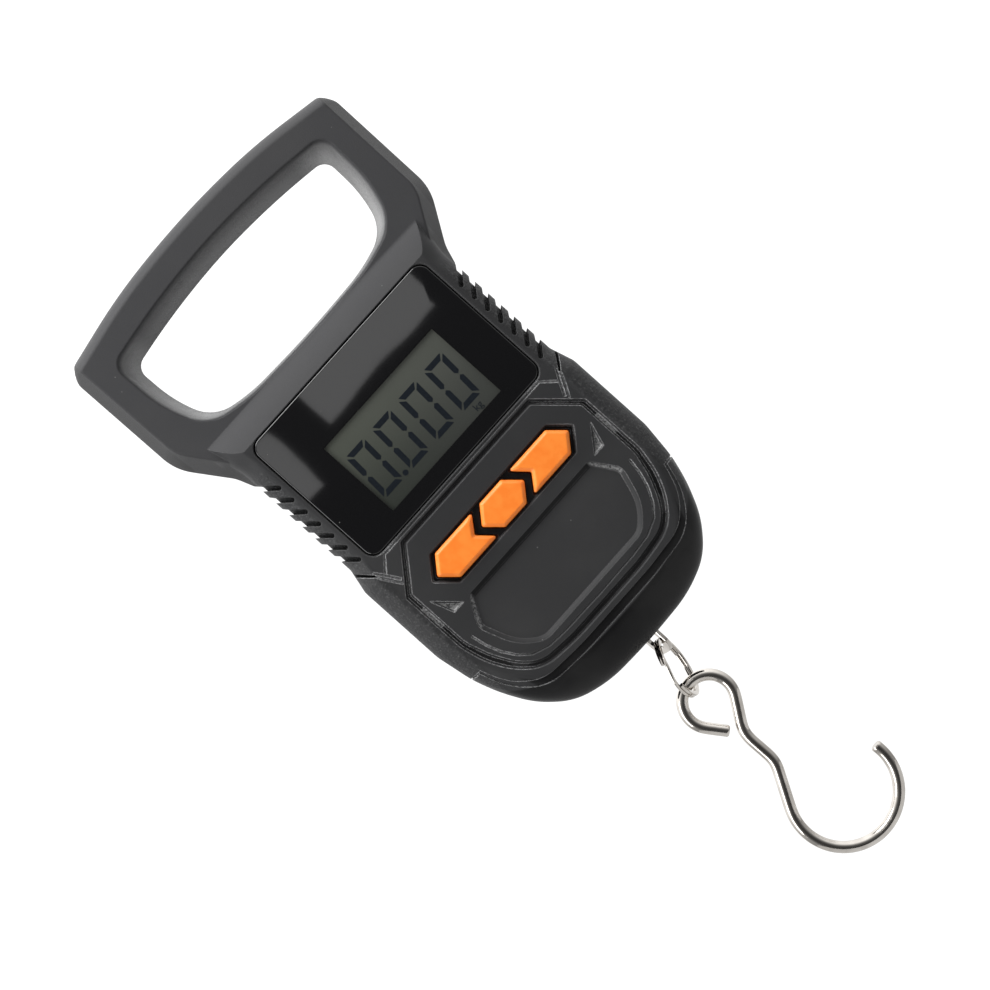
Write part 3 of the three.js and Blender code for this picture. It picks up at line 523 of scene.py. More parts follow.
def finger_opening():
    """The opening through the loop, narrowest at the seam, with a small round where it meets a face."""
    steps = [(0, 0), (10.5, 0), (10.8, 0.15), (11, 0.42), (12, 0.5)]
    middle, levels = rounded(OPENING_MIDDLE), []
    for depth, more in [(-depth, more) for depth, more in steps[:0:-1]] + steps:
        flare = abs(depth) / LOOP_Y
        levels.append((depth, middle * (1 - flare) + rounded(grown(OPENING_FACE, more)) * flare))
    return stacked("opening", levels)


LOOP_HOLLOW = mirrored([(0, 10.6), (25, 9.2), (44.6, 4.9), (44.2, -25.5), (34.6, -37), (31, -44)])
LOOP_CORE = mirrored([(8, 3.2), (38.4, -0.6), (38, -16), (34, -29.4), (20, -32.4)])
BODY_HOLLOW = mirrored(
    [(31, -37), (31, -78), (35.6, -85), (35.6, -108), (31.8, -122), (27.4, -129.4), (21, -135), (0, -137.6)]
)


def hollow(side, end):
    """The room inside one half: round the loop, but for the core that the finger opening goes through,
    and in the body as far as depth `end`."""
    def room(corners, taper, inset, back):
        """A hollow from the seam to depth `back`, drawn in by `inset` over its last `taper`."""
        return spread("room", corners, [(0, 0), (side * (back - taper), 0), (side * back, -inset)], 1)

    loop = cut(room(LOOP_HOLLOW, 6, 3.4, 8.2), prism("core", LOOP_CORE, -12, 12, steps=1))
    return [loop, room(BODY_HOLLOW, 3, 2.4, end)]


SLOPE = math.radians(48)
FIN_COUNT, FIN_PITCH, FIRST_FIN = 7, 4.27, -46.8
CAP_TOP = -115.5


def slot(side, x, z, out, inwards, wide, narrow, front, back):
    """A slot that slants down and inwards, tapering from `wide` at its open end to `narrow`."""
    tip = narrow * 0.48
    corners = [(-out, wide / 2), (inwards, narrow / 2, tip), (inwards, -narrow / 2, tip), (-out, -wide / 2)]
    run, over = np.array([-math.cos(SLOPE), -math.sin(SLOPE)]), np.array([-math.sin(SLOPE), math.cos(SLOPE)])
    turned = [(*(np.array([x, z]) + c[0] * run + c[1] * over), *c[2:]) for c in corners]
    return prism("slot", [(side * c[0], *c[1:]) for c in turned], front, back)


def inner_form(side, face, skin, seam):
    """A half's body drawn in by `skin` at its face, less and less back to `seam` where the halves meet:
    what is left uncut by grooves that deep."""
    levels = []
    for t in np.radians(np.linspace(15, 90, 9)):
        inset = skin * math.cos(t) + seam * math.sin(t) + (RIM_WIDE - 0.2) * (1 - math.sin(t))
        levels.append((side * (abs(face) - RIM_DEEP + (RIM_DEEP - skin) * math.cos(t)), body_outline(inset)))
    return stacked("inner_form", levels + [(-side, body_outline(seam))])


def fin_slots(side, face):
    """Seven slanting grooves on each flank of the waist leave a row of fins, closed behind."""
    size = {"out": 4.2, "inwards": 5.5, "wide": 1.55, "narrow": 1.2}
    size["front"], size["back"] = (-20, 0) if side < 0 else (0, 20)
    rows = range(FIN_COUNT)
    tools = [slot(s, 36, FIRST_FIN - i * FIN_PITCH, **size) for s in (1, -1) for i in rows]
    return [cut(tool, inner_form(side, face, 2.3, 0.85)) for tool in tools]


def notches(side, face):
    """The fine step on both flanks where the lower cap begins."""
    bands = both(lambda s: block(*sorted((s * 33.4, s * 60)), -20, 20, CAP_TOP - 0.5, CAP_TOP))
    return [cut(band, inner_form(side, face, 0.4, 0.4)) for band in bands]


CASE_SCREWS = ((40.5, 1.2), (29.1, -40.2), (25, -122))
BOARD_SCREWS = ((26.6, -48), (26.6, -100.6))
TAB_X = 0.7


def at(places, make):
    """Pieces made at each place and at its mirror image."""
    return [make(s * x, z) for x, z in places for s in (1, -1)]


def tab_slot():
    """The slot in the case's foot that the pull tab comes out of."""
    return prism("tab_slot", rectangle(TAB_X - 2.6, TAB_X + 2.6, -146, -137, 0.3), -5.2, 5.2)


def sunk(corners, floor, slope, lip):
    """A tool for a recess in the face: its edge broken by `lip`, its wall leaning in by `slope`."""
    steps = ((FACE_Y - 2, lip), (FACE_Y, lip), (FACE_Y + lip, 0), (FACE_Y + floor, -slope))
    return spread("sunk", corners, steps)


def moat(outer, inner, floor, slope):
    """A tool for a channel between two outlines, with leaning walls and broken edges."""
    lip = 0.12
    steps = ((FACE_Y - 1, -lip), (FACE_Y, -lip), (FACE_Y + lip, 0))
    steps += ((FACE_Y + floor, slope), (FACE_Y + 4, slope))
    return cut(sunk(outer, floor, slope, lip), spread("island", inner, steps))


def swept(name, path, radius, sides=12):
    """A round bar carried along a path of points, with flat ends: about each point goes a ring
    square to the run, whose own first direction is the cross product of the run and y."""
    path = np.asarray(path, float)
    run = np.gradient(path, axis=0)
    run /= np.linalg.norm(run, axis=1)[:, None]
    first = np.cross(run, (0, 1, 0))
    first /= np.linalg.norm(first, axis=1)[:, None]
    second = np.cross(run, first)
    turn = np.linspace(0, 2 * math.pi, sides, endpoint=False)[None, :, None]
    radius = np.broadcast_to(radius, len(path))[:, None, None]
    rings = path[:, None] + radius * (np.cos(turn) * first[:, None] + np.sin(turn) * second[:, None])
    return lofted(name, rings)


def scored(points, radius):
    """A tool for a fine groove in the face along points (x, z)."""
    points = np.array(points, float)
    fine = [points[i] + (points[i + 1] - points[i]) * t for i in range(len(points) - 1) for t in (0, 0.5)]
    path = np.array(fine + [points[-1]])
    return swept("scored", np.insert(path, 1, FACE_Y - 0.1, axis=1), radius, 8)


KEY_MIDDLE_Z, KEY_HALF, KEY_X = -92.9, 4.2, 0.3
KEY_LEAN, KEY_POINT, KEY_CORNER = 0.9, 0.6, 0.8


def long_hexagon(reach, high, corner):
    """A hexagon with leaning ends, `reach` from its middle to either point."""
    shoulder = reach - KEY_LEAN * high
    upper, point, lower = (shoulder, high, corner), (reach, 0, KEY_POINT), (shoulder, -high, corner)
    return [point, lower, *((-x, z, r) for x, z, r in (lower, point, upper)), upper]


def at_keys(corners):
    """Corners about the middle of the row of keys, put in their place on the face."""
    return [(KEY_X + x, KEY_MIDDLE_Z + z, r) for x, z, r in corners]


def key_corners(which, grow):
    """A key's outline: a hexagon in the middle, an arrow with a notched inner end on each side."""
    high, point = KEY_HALF + grow, 1.35 * grow
    if which == 0:
        return at_keys(long_hexagon(7.6 + point, high, KEY_POINT))
    tip, notch = 23.6 + point, 10.2 - point
    shoulder, inner = tip - KEY_LEAN * high, notch - KEY_LEAN * high + 0.2
    shape = [(tip, 0, KEY_POINT), (shoulder, -high, KEY_CORNER), (inner, -high, 0.4)]
    shape += [(notch, 0, KEY_POINT), (inner, high, 0.4), (shoulder, high, KEY_CORNER)]
    return at_keys([(which * x, z, r) for x, z, r in shape])


def key_recess():
    """The long hexagon that the three keys sit in."""
    return at_keys(long_hexagon(25.2, KEY_HALF + 0.7, KEY_CORNER))


WINDOW = rectangle(-30.65, 30.65, -79.1, -38.7, 3.2)
PAD = mirrored([(21.4, -101.4, 1.4), (25.8, -108.4, 3.5), (22.7, -117.6, 14), (17.4, -122.4, 6)])
FRAME_OUTER = mirrored(
    [(22.9, -80.7, 0.6), (32.1, -90.9, 1), (32.1, -108.5, 12), (30.6, -115.2, 22)]
    + [(27.6, -121.2, 20), (22.4, -126.6, 11), (12, -127.8, 60)]
)
FRAME_INNER = mirrored(
    [(22.3, -81.95, 0.6), (30.5, -91.2, 1), (30.5, -108.3, 12), (28.7, -114.6, 22)]
    + [(25.7, -120.7, 15), (21.6, -124.9, 8.5), (12, -126, 50)]
)
CAP_OUTER = [(34, CAP_TOP), (32.3, -121.2, 20), (29.4, -126.3, 20), (24.2, -130.4, 12), (12, -131.4, 60)]
CAP_INNER = [(33.2, CAP_TOP), (31.4, -120.8, 20), (28.4, -125.4, 18), (23.4, -128.4, 12), (12, -129.3, 60)]
CAP_GROOVE = mirrored(CAP_OUTER) + mirrored(CAP_INNER)[::-1]
PAD_LINE = [(28.4, -108.5), (27.7, -112.4), (26.4, -116.2), (24.4, -119.6)]
PAD_LINE += [(21.8, -122.2), (17.6, -123.8), (12, -124.3), (0, -124.5)]
FIELD_LINE = [(-31, -83.2), (-27.7, -79.85), (27.7, -79.85), (31, -83.2)]
HIP_LINES = (
    ([(33.9, -79.4), (31.2, -83.6), (29.4, -86.8)], 0.4),
    ([(33.3, -82.0), (31.7, -84.9), (29.9, -87.9)], 0.25),
)
HIP_SLOT = (35.6, -79, 3.6, 3.9, 0.9, 0.6, -18, -9)
FACET = [(28.9, -95.4), (23.5, -101.6), (26.8, -101.6)]


def face_details():
    """Everything sunk into the face: window seat, keys, pad, channels, scored lines and corner facets."""
    pad_line = [(-x, z) for x, z in PAD_LINE] + PAD_LINE[-2::-1]
    tools = [sunk(WINDOW, 1.85, 0.05, 0.22), sunk(key_recess(), 1.1, 0.1, 0.25), sunk(PAD, 0.95, 1.0, 0.1)]
    tools += [moat(FRAME_OUTER, FRAME_INNER, 0.75, 0.42)]
    tools += [cut(prism("cap_groove", CAP_GROOVE, FACE_Y - 2, -8), inner_form(-1, FACE_Y, 0.45, 0.45))]
    tools += [scored(pad_line, 0.28), scored(FIELD_LINE, 0.34)]
    for line, radius in HIP_LINES:
        tools += both(lambda s: scored([(s * x, z) for x, z in line], radius))
    tools += both(lambda s: sunk([(s * x, z) for x, z in FACET][::s], 0.5, 0.42, 0.05))
    tools += both(lambda s: slot(s, *HIP_SLOT))
    tools += [prism("key_hole", key_corners(k, 0.3), FACE_Y - 1, -10) for k in (-1, 0, 1)]
    return tools


FACE_TOP, BACK_TOP = -38.5, -36.5


def top_slope(side, face):
    """The wedge between the hand loop and a half's raised face: a flat slope, rounded into both."""
    foot = FACE_TOP if side < 0 else BACK_TOP
    rise, beyond = abs(face) - LOOP_Y, abs(face) + 2
    corners = [(beyond, foot - 3), (beyond, -15), (LOOP_Y, -15), (LOOP_Y, -31.0)]
    corners += [(LOOP_Y + 0.1 * rise, -32), (LOOP_Y + 0.3 * rise, -33.3), (LOOP_Y + 0.93 * rise, foot + 0.4)]
    corners += [(LOOP_Y + rise, foot), (LOOP_Y + rise + 0.3, foot - 0.7)]
    profile = np.array(corners) * (side, 1)
    return lofted("top_slope", np.array([np.insert(profile, 0, x, axis=1) for x in (-60, 60)]))


# The face half: opened and hollowed, backed behind the window, given its screw bosses with their
# bores, then cut for the display and for all that is sunk into the face.
WINDOW_BACKING = (-31.6, 31.6, FACE_Y + 1, -11.6, -80.2, -37.4)
DISPLAY_ROOM = (-22.1, 23.5, FACE_Y, -11, -77.7, -48.3)
front = case_half(-1, FACE_Y, crease=24)
front = cut(front, top_slope(-1, FACE_Y), finger_opening(), *hollow(-1, 12.6))
front = cut(front, *fin_slots(-1, FACE_Y), tab_slot())
front = joined(front, block(*WINDOW_BACKING))
front = joined(front, *at(CASE_SCREWS, lambda x, z: bar(x, z, 3.2, -9, -SEAM)))
front = joined(front, *at(BOARD_SCREWS, lambda x, z: bar(x, z, 2.6, -13, -8.3)))
front = cut(front, *at(CASE_SCREWS, lambda x, z: bar(x, z, 1.6, -8.5, 1, 20)))
front = cut(front, *at(BOARD_SCREWS, lambda x, z: bar(x, z, 1.3, -12.2, -7, 20)))
front = cut(front, block(*DISPLAY_ROOM), *face_details(), *notches(-1, FACE_Y))
settle(front, "case_front", CASE_FINISH, "case_plastic", "case", "front_shell")

COVER = rectangle(-30, 30, -74.2, -45.2, 1.2)
TONGUE_X, BEAM_SCREW = 18, (9.5, -95.6)
CELL_BAY, BAY_WALLS = (-28, 28, -0.6, 14, -71.8, -47.4), (-29.4, 29.4, -2, 12, -73.2, -46)
LEAD_HOLE = (-24.4, -20.8, -3.6, 0.4, -71.4, -66.8)
PLATE = mirrored([(18, -84, 2), (18, -108, 2)])
COVER_SEAT = ((11.1, 0.3), (12.8, 0.3), (13, 0.5), (14, 0.5))
SCREW_WELL = ((4.6, 2.6), (11.0, 2.7), (12.9, 2.8), (13.2, 3.1), (14, 3.1))
PLATE_STEPS = ((12.55, -0.3), (12.9, 0), (13, 0.12), (14, 0.12))


def screw_well(x, z):
    """The well in the back that a case screw's head sits in."""
    return stacked("well", [(y, circle(x, z, radius)) for y, radius in SCREW_WELL])


# The other half: opened and hollowed, filled round the cell bay, given its bosses, then cut for the
# bay, the cover's seat and tongues, the leads, the screws, a plain sunk field and four short ribs.
back = case_half(1, BACK_Y, crease=12)
back = cut(back, top_slope(1, BACK_Y), finger_opening(), *hollow(1, 10.6))
back = cut(back, *fin_slots(1, BACK_Y), tab_slot())
back = joined(back, block(*BAY_WALLS))
back = joined(back, *at(CASE_SCREWS, lambda x, z: bar(x, z, 3.9, SEAM, 9.5)))
back = joined(back, *at([BEAM_SCREW], lambda x, z: bar(x, z, 4.2, 4.3, 11)))
back = cut(back, block(*CELL_BAY))
back = cut(back, spread("seat", COVER, COVER_SEAT))
back = cut(back, *both(lambda s: block(s * TONGUE_X - 3.4, s * TONGUE_X + 3.4, 8.4, 12, -75.9, -70.8)))
back = cut(back, block(*LEAD_HOLE))
back = cut(back, *at(CASE_SCREWS, lambda x, z: bar(x, z, 1.6, -1, 14, 20)))
back = cut(back, *at(CASE_SCREWS, screw_well))
back = cut(back, *at([BEAM_SCREW], lambda x, z: bar(x, z, 2.1, 3, 10.4)))
back = cut(back, spread("plate", PLATE, PLATE_STEPS), *notches(1, BACK_Y))
for i in range(4):
    half, foot = 15 - 1.2 * i, -128.4 - 2.6 * i
    back = cut(back, prism("rib", rectangle(-half, half, foot, foot + 1.1, 0.5), 12.4, 14))
settle(back, "case_back", CASE_FINISH, "case_plastic", "case", "back_shell")

# ---- Battery cover -------------------------------------------------------------------------
# A flat lid of the case's own plastic over the cell bay: two tongues hook under the bay's lower
# edge and a thumb recess with a ribbed grip lets it be pressed and lifted at the top.
LID_STEPS = ((11.4, 0), (12.7, 0), (12.92, -0.1), (13, -0.35))
THUMB, THUMB_STEPS = rectangle(-8, 8, -50.4, -46.8, 1.6), ((11.9, -1.2), (12.4, -0.5), (13, 0.1), (14, 0.2))
lid = spread("lid", COVER, LID_STEPS)
lid = joined(lid, *both(lambda s: block(s * TONGUE_X - 3, s * TONGUE_X + 3, 9.4, 11.6, -75.1, -73)))
lid = cut(lid, spread("thumb", THUMB, THUMB_STEPS))
for i in range(5):
    half, foot = 7 - i, -53.2 - 1.9 * i
    lid = cut(lid, prism("grip", rectangle(-half, half, foot, foot + 0.8, 0.38), 12.6, 14))
settle(lid, "battery_lid", CASE_FINISH, "case_plastic", "battery_cover", "battery_cover")

# ---- Window --------------------------------------------------------------------------------
# A pane of acrylic, printed gloss black behind and bonded flush into the face with a hairline gap
# all round. Its clear area is an opening here, in which the display's glass stands.


def window_gloss():
    """Polished black: almost no colour of its own, a clear reflection, hairlines and a few specks."""
    f = Finish("window_gloss")
    hair = f.noise(0.9, 6.0, where=f.node("VectorMath", {"operation": "MULTIPLY"}, {0: f.at, 1: (0.3, 1, 6)}))
    dust = f.node("TexVoronoi", {}, {"Vector": f.at, "Scale": 0.21}).below(0.02, 0.03)
    ripple = f.noise(0.05, 1.0)
    f.set(Base_Color=f.mix(dust * 0.5, (0.0035, 0.0035, 0.004), (0.35, 0.34, 0.32)))
    f.set(Roughness=0.035 + 0.03 * hair.above(0.6, 0.8) + 0.4 * dust, Specular_IOR_Level=0.5)
    return f.relief(ripple + 0.003 * hair, 0.06).material


PANE = rectangle(-30.35, 30.35, -78.8, -39, 3)
VIEW_LEFT, VIEW_RIGHT, VIEW_BOTTOM, VIEW_TOP = -18.6, 20.2, -74.5, -52.1
PANE_STEPS = ((0, -0.4), (0.06, -0.2), (0.22, -0.03), (0.45, 0), (1.5, 0))
pane = spread("pane", PANE, [(FACE_Y + depth, by) for depth, by in PANE_STEPS])
VIEW = rectangle(VIEW_LEFT, VIEW_RIGHT, VIEW_BOTTOM, VIEW_TOP, 0.15)
pane = cut(pane, prism("view", VIEW, FACE_Y - 1, FACE_Y + 3))
settle(pane, "window_pane", window_gloss(), "window_gloss", "case", "display_window")

# ---- Liquid crystal display ----------------------------------------------------------------
# Grey-green glass close behind the pane's opening, with four leaning seven-bar digits, a point and
# a unit mark in blue-black. The panel runs on under the black print down to its connector.


def display_glass():
    """Grey-green liquid crystal: paler to the top, a faint mottle and the polariser's soft gloss."""
    f = Finish("display_glass")
    cloud = f.noise(0.09, 2.0)
    fine = f.noise(2.6, 2.0)
    tint = f.mix(f.z.above(-75, -51), (0.026, 0.029, 0.025), (0.064, 0.069, 0.057))
    tint = f.mix(f.x.above(-19, 19) * 0.3, tint, (0.066, 0.066, 0.064))
    tint = f.mix((cloud - 0.3) * 0.3, tint, (0.036, 0.043, 0.033))
    f.set(Base_Color=tint, Roughness=0.24 + 0.08 * (fine - 0.5), Specular_IOR_Level=0.25)
    return f.relief(cloud, 0.02).material


def digit_ink():
    """The darkened crystal of a lit bar: blue-black, a little uneven."""
    f = Finish("digit_ink")
    uneven = f.noise(1.4, 3.0)
    f.set(Base_Color=f.mix(uneven, (0.007, 0.009, 0.012), (0.012, 0.015, 0.019)))
    f.set(Roughness=0.3 + 0.06 * uneven, Specular_IOR_Level=0.05)
    return f.relief(uneven, 0.004).material


GLASS_Y, GLASS_GAP = FACE_Y + 0.55, 0.05
panel = prism("panel", rectangle(-21.8, 23.2, -77.4, -48.6, 0.3), -13.2, -11.2)
seen_x = (VIEW_LEFT + GLASS_GAP, VIEW_RIGHT - GLASS_GAP)
seen_z = (VIEW_BOTTOM + GLASS_GAP, VIEW_TOP - GLASS_GAP)
panel = joined(panel, prism("seen", rectangle(*seen_x, *seen_z, 0.15), GLASS_Y, -13))
settle(panel, "lcd_glass", display_glass(), "display_glass", "case", "lcd_panel")

DIGIT_TALL, DIGIT_WIDE, STROKE, BREAK = 13.7, 6.5, 1.42, 0.16
DIGIT_LEAN, DIGIT_PITCH, FIRST_DIGIT, DIGIT_FOOT = 0.055, 9.28, -17.55, -71.15
POINT_X, POINT_Z, POINT_R = -9.75, -70.55, 0.72
UNIT_X, UNIT_Z, UNIT_TALL = 12.6, -73.6, 2.6
INK_Y = GLASS_Y - 0.03
HALF_TALL, BAR_FOOT = DIGIT_TALL / 2, DIGIT_TALL - STROKE
TOP_BAR = [(0.45, DIGIT_TALL), (DIGIT_WIDE - 0.45, DIGIT_TALL)]
TOP_BAR += [(DIGIT_WIDE - STROKE - BREAK, BAR_FOOT), (STROKE + BREAK, BAR_FOOT)]
SIDE_BAR = [(0, DIGIT_TALL - 0.55), (STROKE, BAR_FOOT - 2.6 * BREAK), (STROKE, HALF_TALL + 1.0)]
SIDE_BAR += [(STROKE / 2, HALF_TALL + 0.25), (0, HALF_TALL + 0.8)]
BARS = [TOP_BAR, SIDE_BAR, [(DIGIT_WIDE - x, z) for x, z in SIDE_BAR]]
BARS += [[(x, DIGIT_TALL - z) for x, z in corners] for corners in BARS]


def ink(corners):
    """A flat bar of ink: a thin prism through corners (x, z), standing a hair off the glass."""
    return prism("ink", [(*c, 0.08) for c in corners], INK_Y, GLASS_Y + 0.1, steps=2)


marks = []
for i in range(4):
    left = FIRST_DIGIT + i * DIGIT_PITCH
    marks += [ink([(left + x + DIGIT_LEAN * z, DIGIT_FOOT + z) for x, z in corners]) for corners in BARS]
marks.append(bar(POINT_X, POINT_Z, POINT_R, INK_Y, GLASS_Y + 0.1, 24))
unit = bpy.data.curves.new("unit", "FONT")
unit.body, unit.size, unit.extrude = "kg", UNIT_TALL * MM, 0.05 * MM
lettering = bpy.data.objects.new("unit", unit)
bpy.context.scene.collection.objects.link(lettering)
graph = bpy.context.evaluated_depsgraph_get()
unit_mesh = bpy.data.meshes.new_from_object(lettering.evaluated_get(graph))
bpy.data.objects.remove(lettering)
stand_up = Matrix.Rotation(math.pi / 2, 4, "X")
unit_mesh.transform(Matrix.Translation(Vector((UNIT_X, INK_Y + 0.04, UNIT_Z)) * MM) @ stand_up)
form = bmesh.new()
form.from_mesh(unit_mesh)
for mark in marks:
    form.from_mesh(mark.data)
    bpy.data.objects.remove(mark)
bmesh.ops.remove_doubles(form, verts=form.verts, dist=1e-7)
form.to_mesh(unit_mesh)
form.free()
digits = bpy.data.objects.new("lcd_digits", unit_mesh)
bpy.context.scene.collection.objects.link(digits)
settle(digits, "lcd_digits", digit_ink(), "display_glass", "case")

# ---- Keys ----------------------------------------------------------------------------------
# Three caps of orange ABS, a hexagon between two arrows, each with a bevelled rim and a flange
# that keeps it in its hole. The face is plain: the words of the real keys are left off.


def orange_key():
    """Moulded orange: satin top, fine grain, a painted highlight on its rim and painted shade down its sides.
    """
    f = Finish("orange_key")
    rounding, edge_sheen = f.edges(0.3)
    grain, cloud = f.noise(6.0, 2.0), f.noise(0.35, 3.0)
    tone = f.mix(cloud.above(0.3, 0.7), (0.89, 0.205, 0.018), (0.93, 0.25, 0.03))
    # Painted shade down the key's sides, where they sink into the recess.
    tone = f.mix(f.y.below(-15.35, -14.5), (0.30, 0.05, 0.006), tone)
    # Painted highlight along the rim.
    tone = f.mix(edge_sheen * 0.4, tone, (1.0, 0.42, 0.12))
    f.set(Base_Color=tone, Roughness=0.42 + 0.1 * (grain - 0.5), Specular_IOR_Level=0.45)
    return f.relief(grain * 0.4 + cloud, 0.03, rounding).material


KEY_FINISH = orange_key()
KEY_STEPS = ((-15.9, -1.0), (-15.87, -0.8), (-15.72, -0.55), (-15.3, -0.12), (-15.1, -0.02), (-14.9, 0))
KEY_FLANGE = ((-12.51, 0), (-12.5, 0.5), (-11.2, 0.5))
for which, name in ((-1, "left"), (0, "middle"), (1, "right")):
    cap = stacked("key", [(y, rounded(key_corners(which, by), 6)) for y, by in KEY_STEPS + KEY_FLANGE])
    settle(cap, f"keycap_{name}", KEY_FINISH, "orange_key", f"key_{name}", f"key_{name}", sharp=26)

# ---- Pull tab, split ring and hook ---------------------------------------------------------
# A steel strap pinned in the load cell comes out through the foot of the case. A split ring of
# two touching coils hangs in its eye, and carries a hook bent from one nickel-plated wire.


def bright_nickel():
    """Nickel plate: mirror bright, with a faint warm cast and a finely uneven polish."""
    f = Finish("bright_nickel")
    fine, cloud = f.noise(2.2, 5.0), f.noise(0.25, 3.0)
    warm = f.mix(cloud.above(0.35, 0.7), (0.62, 0.59, 0.55), (0.50, 0.47, 0.435))
    f.set(Base_Color=warm, Metallic=1.0, Roughness=0.07 + 0.08 * fine.above(0.45, 0.75) + 0.04 * cloud)
    return f.relief(fine + 2 * cloud, 0.003).material


NICKEL = bright_nickel()
TAB_TURN = math.radians(22)
TAB_TOP, TAB_FOOT, TAB_HALF, TAB_THICK = -124.1, -148, 4.6, 1.1
TAB_FLAT = TAB_THICK / 2 - 0.12
TAB_STEPS = ((-TAB_THICK / 2, -0.15), (-TAB_FLAT, 0), (TAB_FLAT, 0), (TAB_THICK / 2, -0.15))
TAB_FACE = [(TAB_HALF, TAB_TOP, 1), (TAB_HALF, TAB_FOOT, 3.4)]
TAB_FACE += [(-TAB_HALF, TAB_FOOT, 3.4), (-TAB_HALF, TAB_TOP, 1)]
tab = spread("tab", TAB_FACE, TAB_STEPS)
EYE_Z, EYE_R, PIN_Z, PIN_R = TAB_FOOT + 4.8, 3.1, -127.4, 1.5
EYE_STEPS = ((-1, 0.2), (-0.55, 0.12), (-0.42, 0), (0.42, 0), (0.55, 0.12), (1, 0.2))
eye_hole = stacked("eye", [(y, circle(0, EYE_Z, EYE_R + by, 48)) for y, by in EYE_STEPS])
tab = cut(tab, eye_hole, bar(0, PIN_Z, PIN_R, -3, 3))
tab.data.transform(Matrix.Translation((TAB_X * MM, 0, 0)) @ Matrix.Rotation(TAB_TURN + math.pi / 2, 4, "Z"))
settle(tab, "pull_strap", NICKEL, "zinc_steel", "case", "pull_tab")

RING_R, COIL_APART, RING_TOP = 7.9, 0.41, -144.5
RING_WIDE, RING_THICK = 0.66, 0.40
STEP_OVER, START = math.radians(48), math.radians(200)
RING_TURN, RING_LEAN = math.radians(70), math.radians(12)
COIL_POINTS, WIRE_POINTS = 300, 16


def squarish(wave):
    """A sine or cosine drawn out towards its ends, for a wire rolled nearly flat."""
    return np.sign(wave) * np.abs(wave) ** 0.6


# The coil runs twice round, less the step: over the step, halfway along, it crosses smoothly from
# one side of the ring's plane to the other. At each point the wire's rounded oblong lies across.
wound = np.linspace(0, 4 * math.pi - STEP_OVER, COIL_POINTS)
crossed = np.clip((wound - (2 * math.pi - STEP_OVER)) / STEP_OVER, 0, 1)
aside = COIL_APART * (2 * crossed * crossed * (3 - 2 * crossed) - 1)
oblong = np.linspace(0, 2 * math.pi, WIRE_POINTS, endpoint=False)
away = RING_R + RING_WIDE * squarish(np.cos(oblong))[None, :]
coil = np.stack(
    [
        away * np.cos(wound + START)[:, None],
        aside[:, None] + RING_THICK * squarish(np.sin(oblong))[None, :] + 0 * away,
        away * np.sin(wound + START)[:, None] - RING_R,
    ],
    -1,
)
ring = lofted("ring", coil)
hung = Matrix.Rotation(RING_TURN, 4, "Z") @ Matrix.Rotation(RING_LEAN, 4, "X")
ring.data.transform(Matrix.Translation(Vector((TAB_X, 0, RING_TOP)) * MM) @ hung)
settle(ring, "ring_coils", NICKEL, "zinc_steel", "split_ring", "split_ring", sharp=50)


def arc(x, z, radius, start, end, count=60):
    """Points about (x, z) from one angle to another, in degrees."""
    turn = np.radians(np.linspace(start, end, count))
    return np.column_stack([x + radius * np.cos(turn), z + radius * np.sin(turn)])


HOOK_WIRE, HOOK_Y, HOOK_POINTS, HOOK_BLUR = 1.55, 1.1, 330, 13
NECK = [(-1.0, -174.2), (-1.75, -175.9), (-2, -178), (-1.9, -184.2), (-2.05, -185.8), (-2.75, -187.6)]
EYE_BEND, BOWL_BEND = arc(-1.85, -163.95, 6.7, 217.6, -37.1), arc(3.8, -203.8, 13.9, 150, 367)
line = np.concatenate([[(-4.05, -172.6)], EYE_BEND, NECK, BOWL_BEND])

# The line is spaced evenly by its own length, then each point becomes the mean of those round it,
# weighted by a raised cosine, so that one bend runs smoothly into the next.
along = np.concatenate([[0], np.cumsum(np.linalg.norm(np.diff(line, axis=0), axis=1))])
even = np.linspace(0, along[-1], HOOK_POINTS)
line = np.column_stack([np.interp(even, along, line[:, i]) for i in (0, 1)])
weights = np.hanning(HOOK_BLUR) / np.hanning(HOOK_BLUR).sum()
padded = np.concatenate([2 * line[0] - line[6:0:-1], line, 2 * line[-1] - line[-2:-8:-1]])
line = np.column_stack([np.convolve(padded[:, i], weights, "valid") for i in (0, 1)])
thick = np.full(len(line), HOOK_WIRE)
thick[[0, -1]] = HOOK_WIRE - 0.22
wire = swept("wire", np.insert(line, 1, HOOK_Y, axis=1), thick, 32)
settle(wire, "hook_wire", NICKEL, "zinc_steel", "hook", "hook", sharp=40)

# ---- Inside the case -----------------------------------------------------------------------
# Board, chip, switches, load cell, cells, contacts, leads and screws keep their CAD forms, and
# each takes the finish of what it is made of.


def plain(name, low, high, rough, metal=0.0, per_mm=1.5, depth=0.02, stretch=(1, 1, 1)):
    """A finish that wanders between two colours, with painted highlights on its edges; its grain
    may be stretched along an axis.
    """
    f = Finish(name)
    drawn = f.node("VectorMath", {"operation": "MULTIPLY"}, {0: f.at, 1: stretch})
    grain, cloud = f.noise(per_mm, 4.0, where=drawn), f.noise(0.2, 3.0)
    rounding, edge_sheen = f.edges(0.15)
    tone = f.mix(0.5 * grain + 0.5 * cloud, low, high)
    # Painted highlight along the edges.
    tone = f.mix(edge_sheen * 0.3, tone, tuple(min(1.0, 1.5 * c + 0.03) for c in high))
    f.set(Base_Color=tone, Metallic=metal, Roughness=rough + 0.14 * (grain - 0.5) + 0.1 * (cloud - 0.5))
    return f.relief(grain, depth, rounding).material


def board_laminate():
    """Green solder mask with paler copper runs under it."""
    f = Finish("board_laminate")
    flat = f.node("CombineXYZ", {}, {0: f.x, 1: f.z})
    bricks = {"Vector": flat, "Scale": 0.5, "Mortar Size": 0.03}
    runs = f.node("TexBrick", {"offset": 0.37}, bricks, out="Fac")
    f.set(Base_Color=f.mix(runs, (0.012, 0.09, 0.03), (0.03, 0.17, 0.06)))
    f.set(Roughness=0.35 + 0.1 * f.noise(2.0))
    return f.relief(runs, 0.03).material


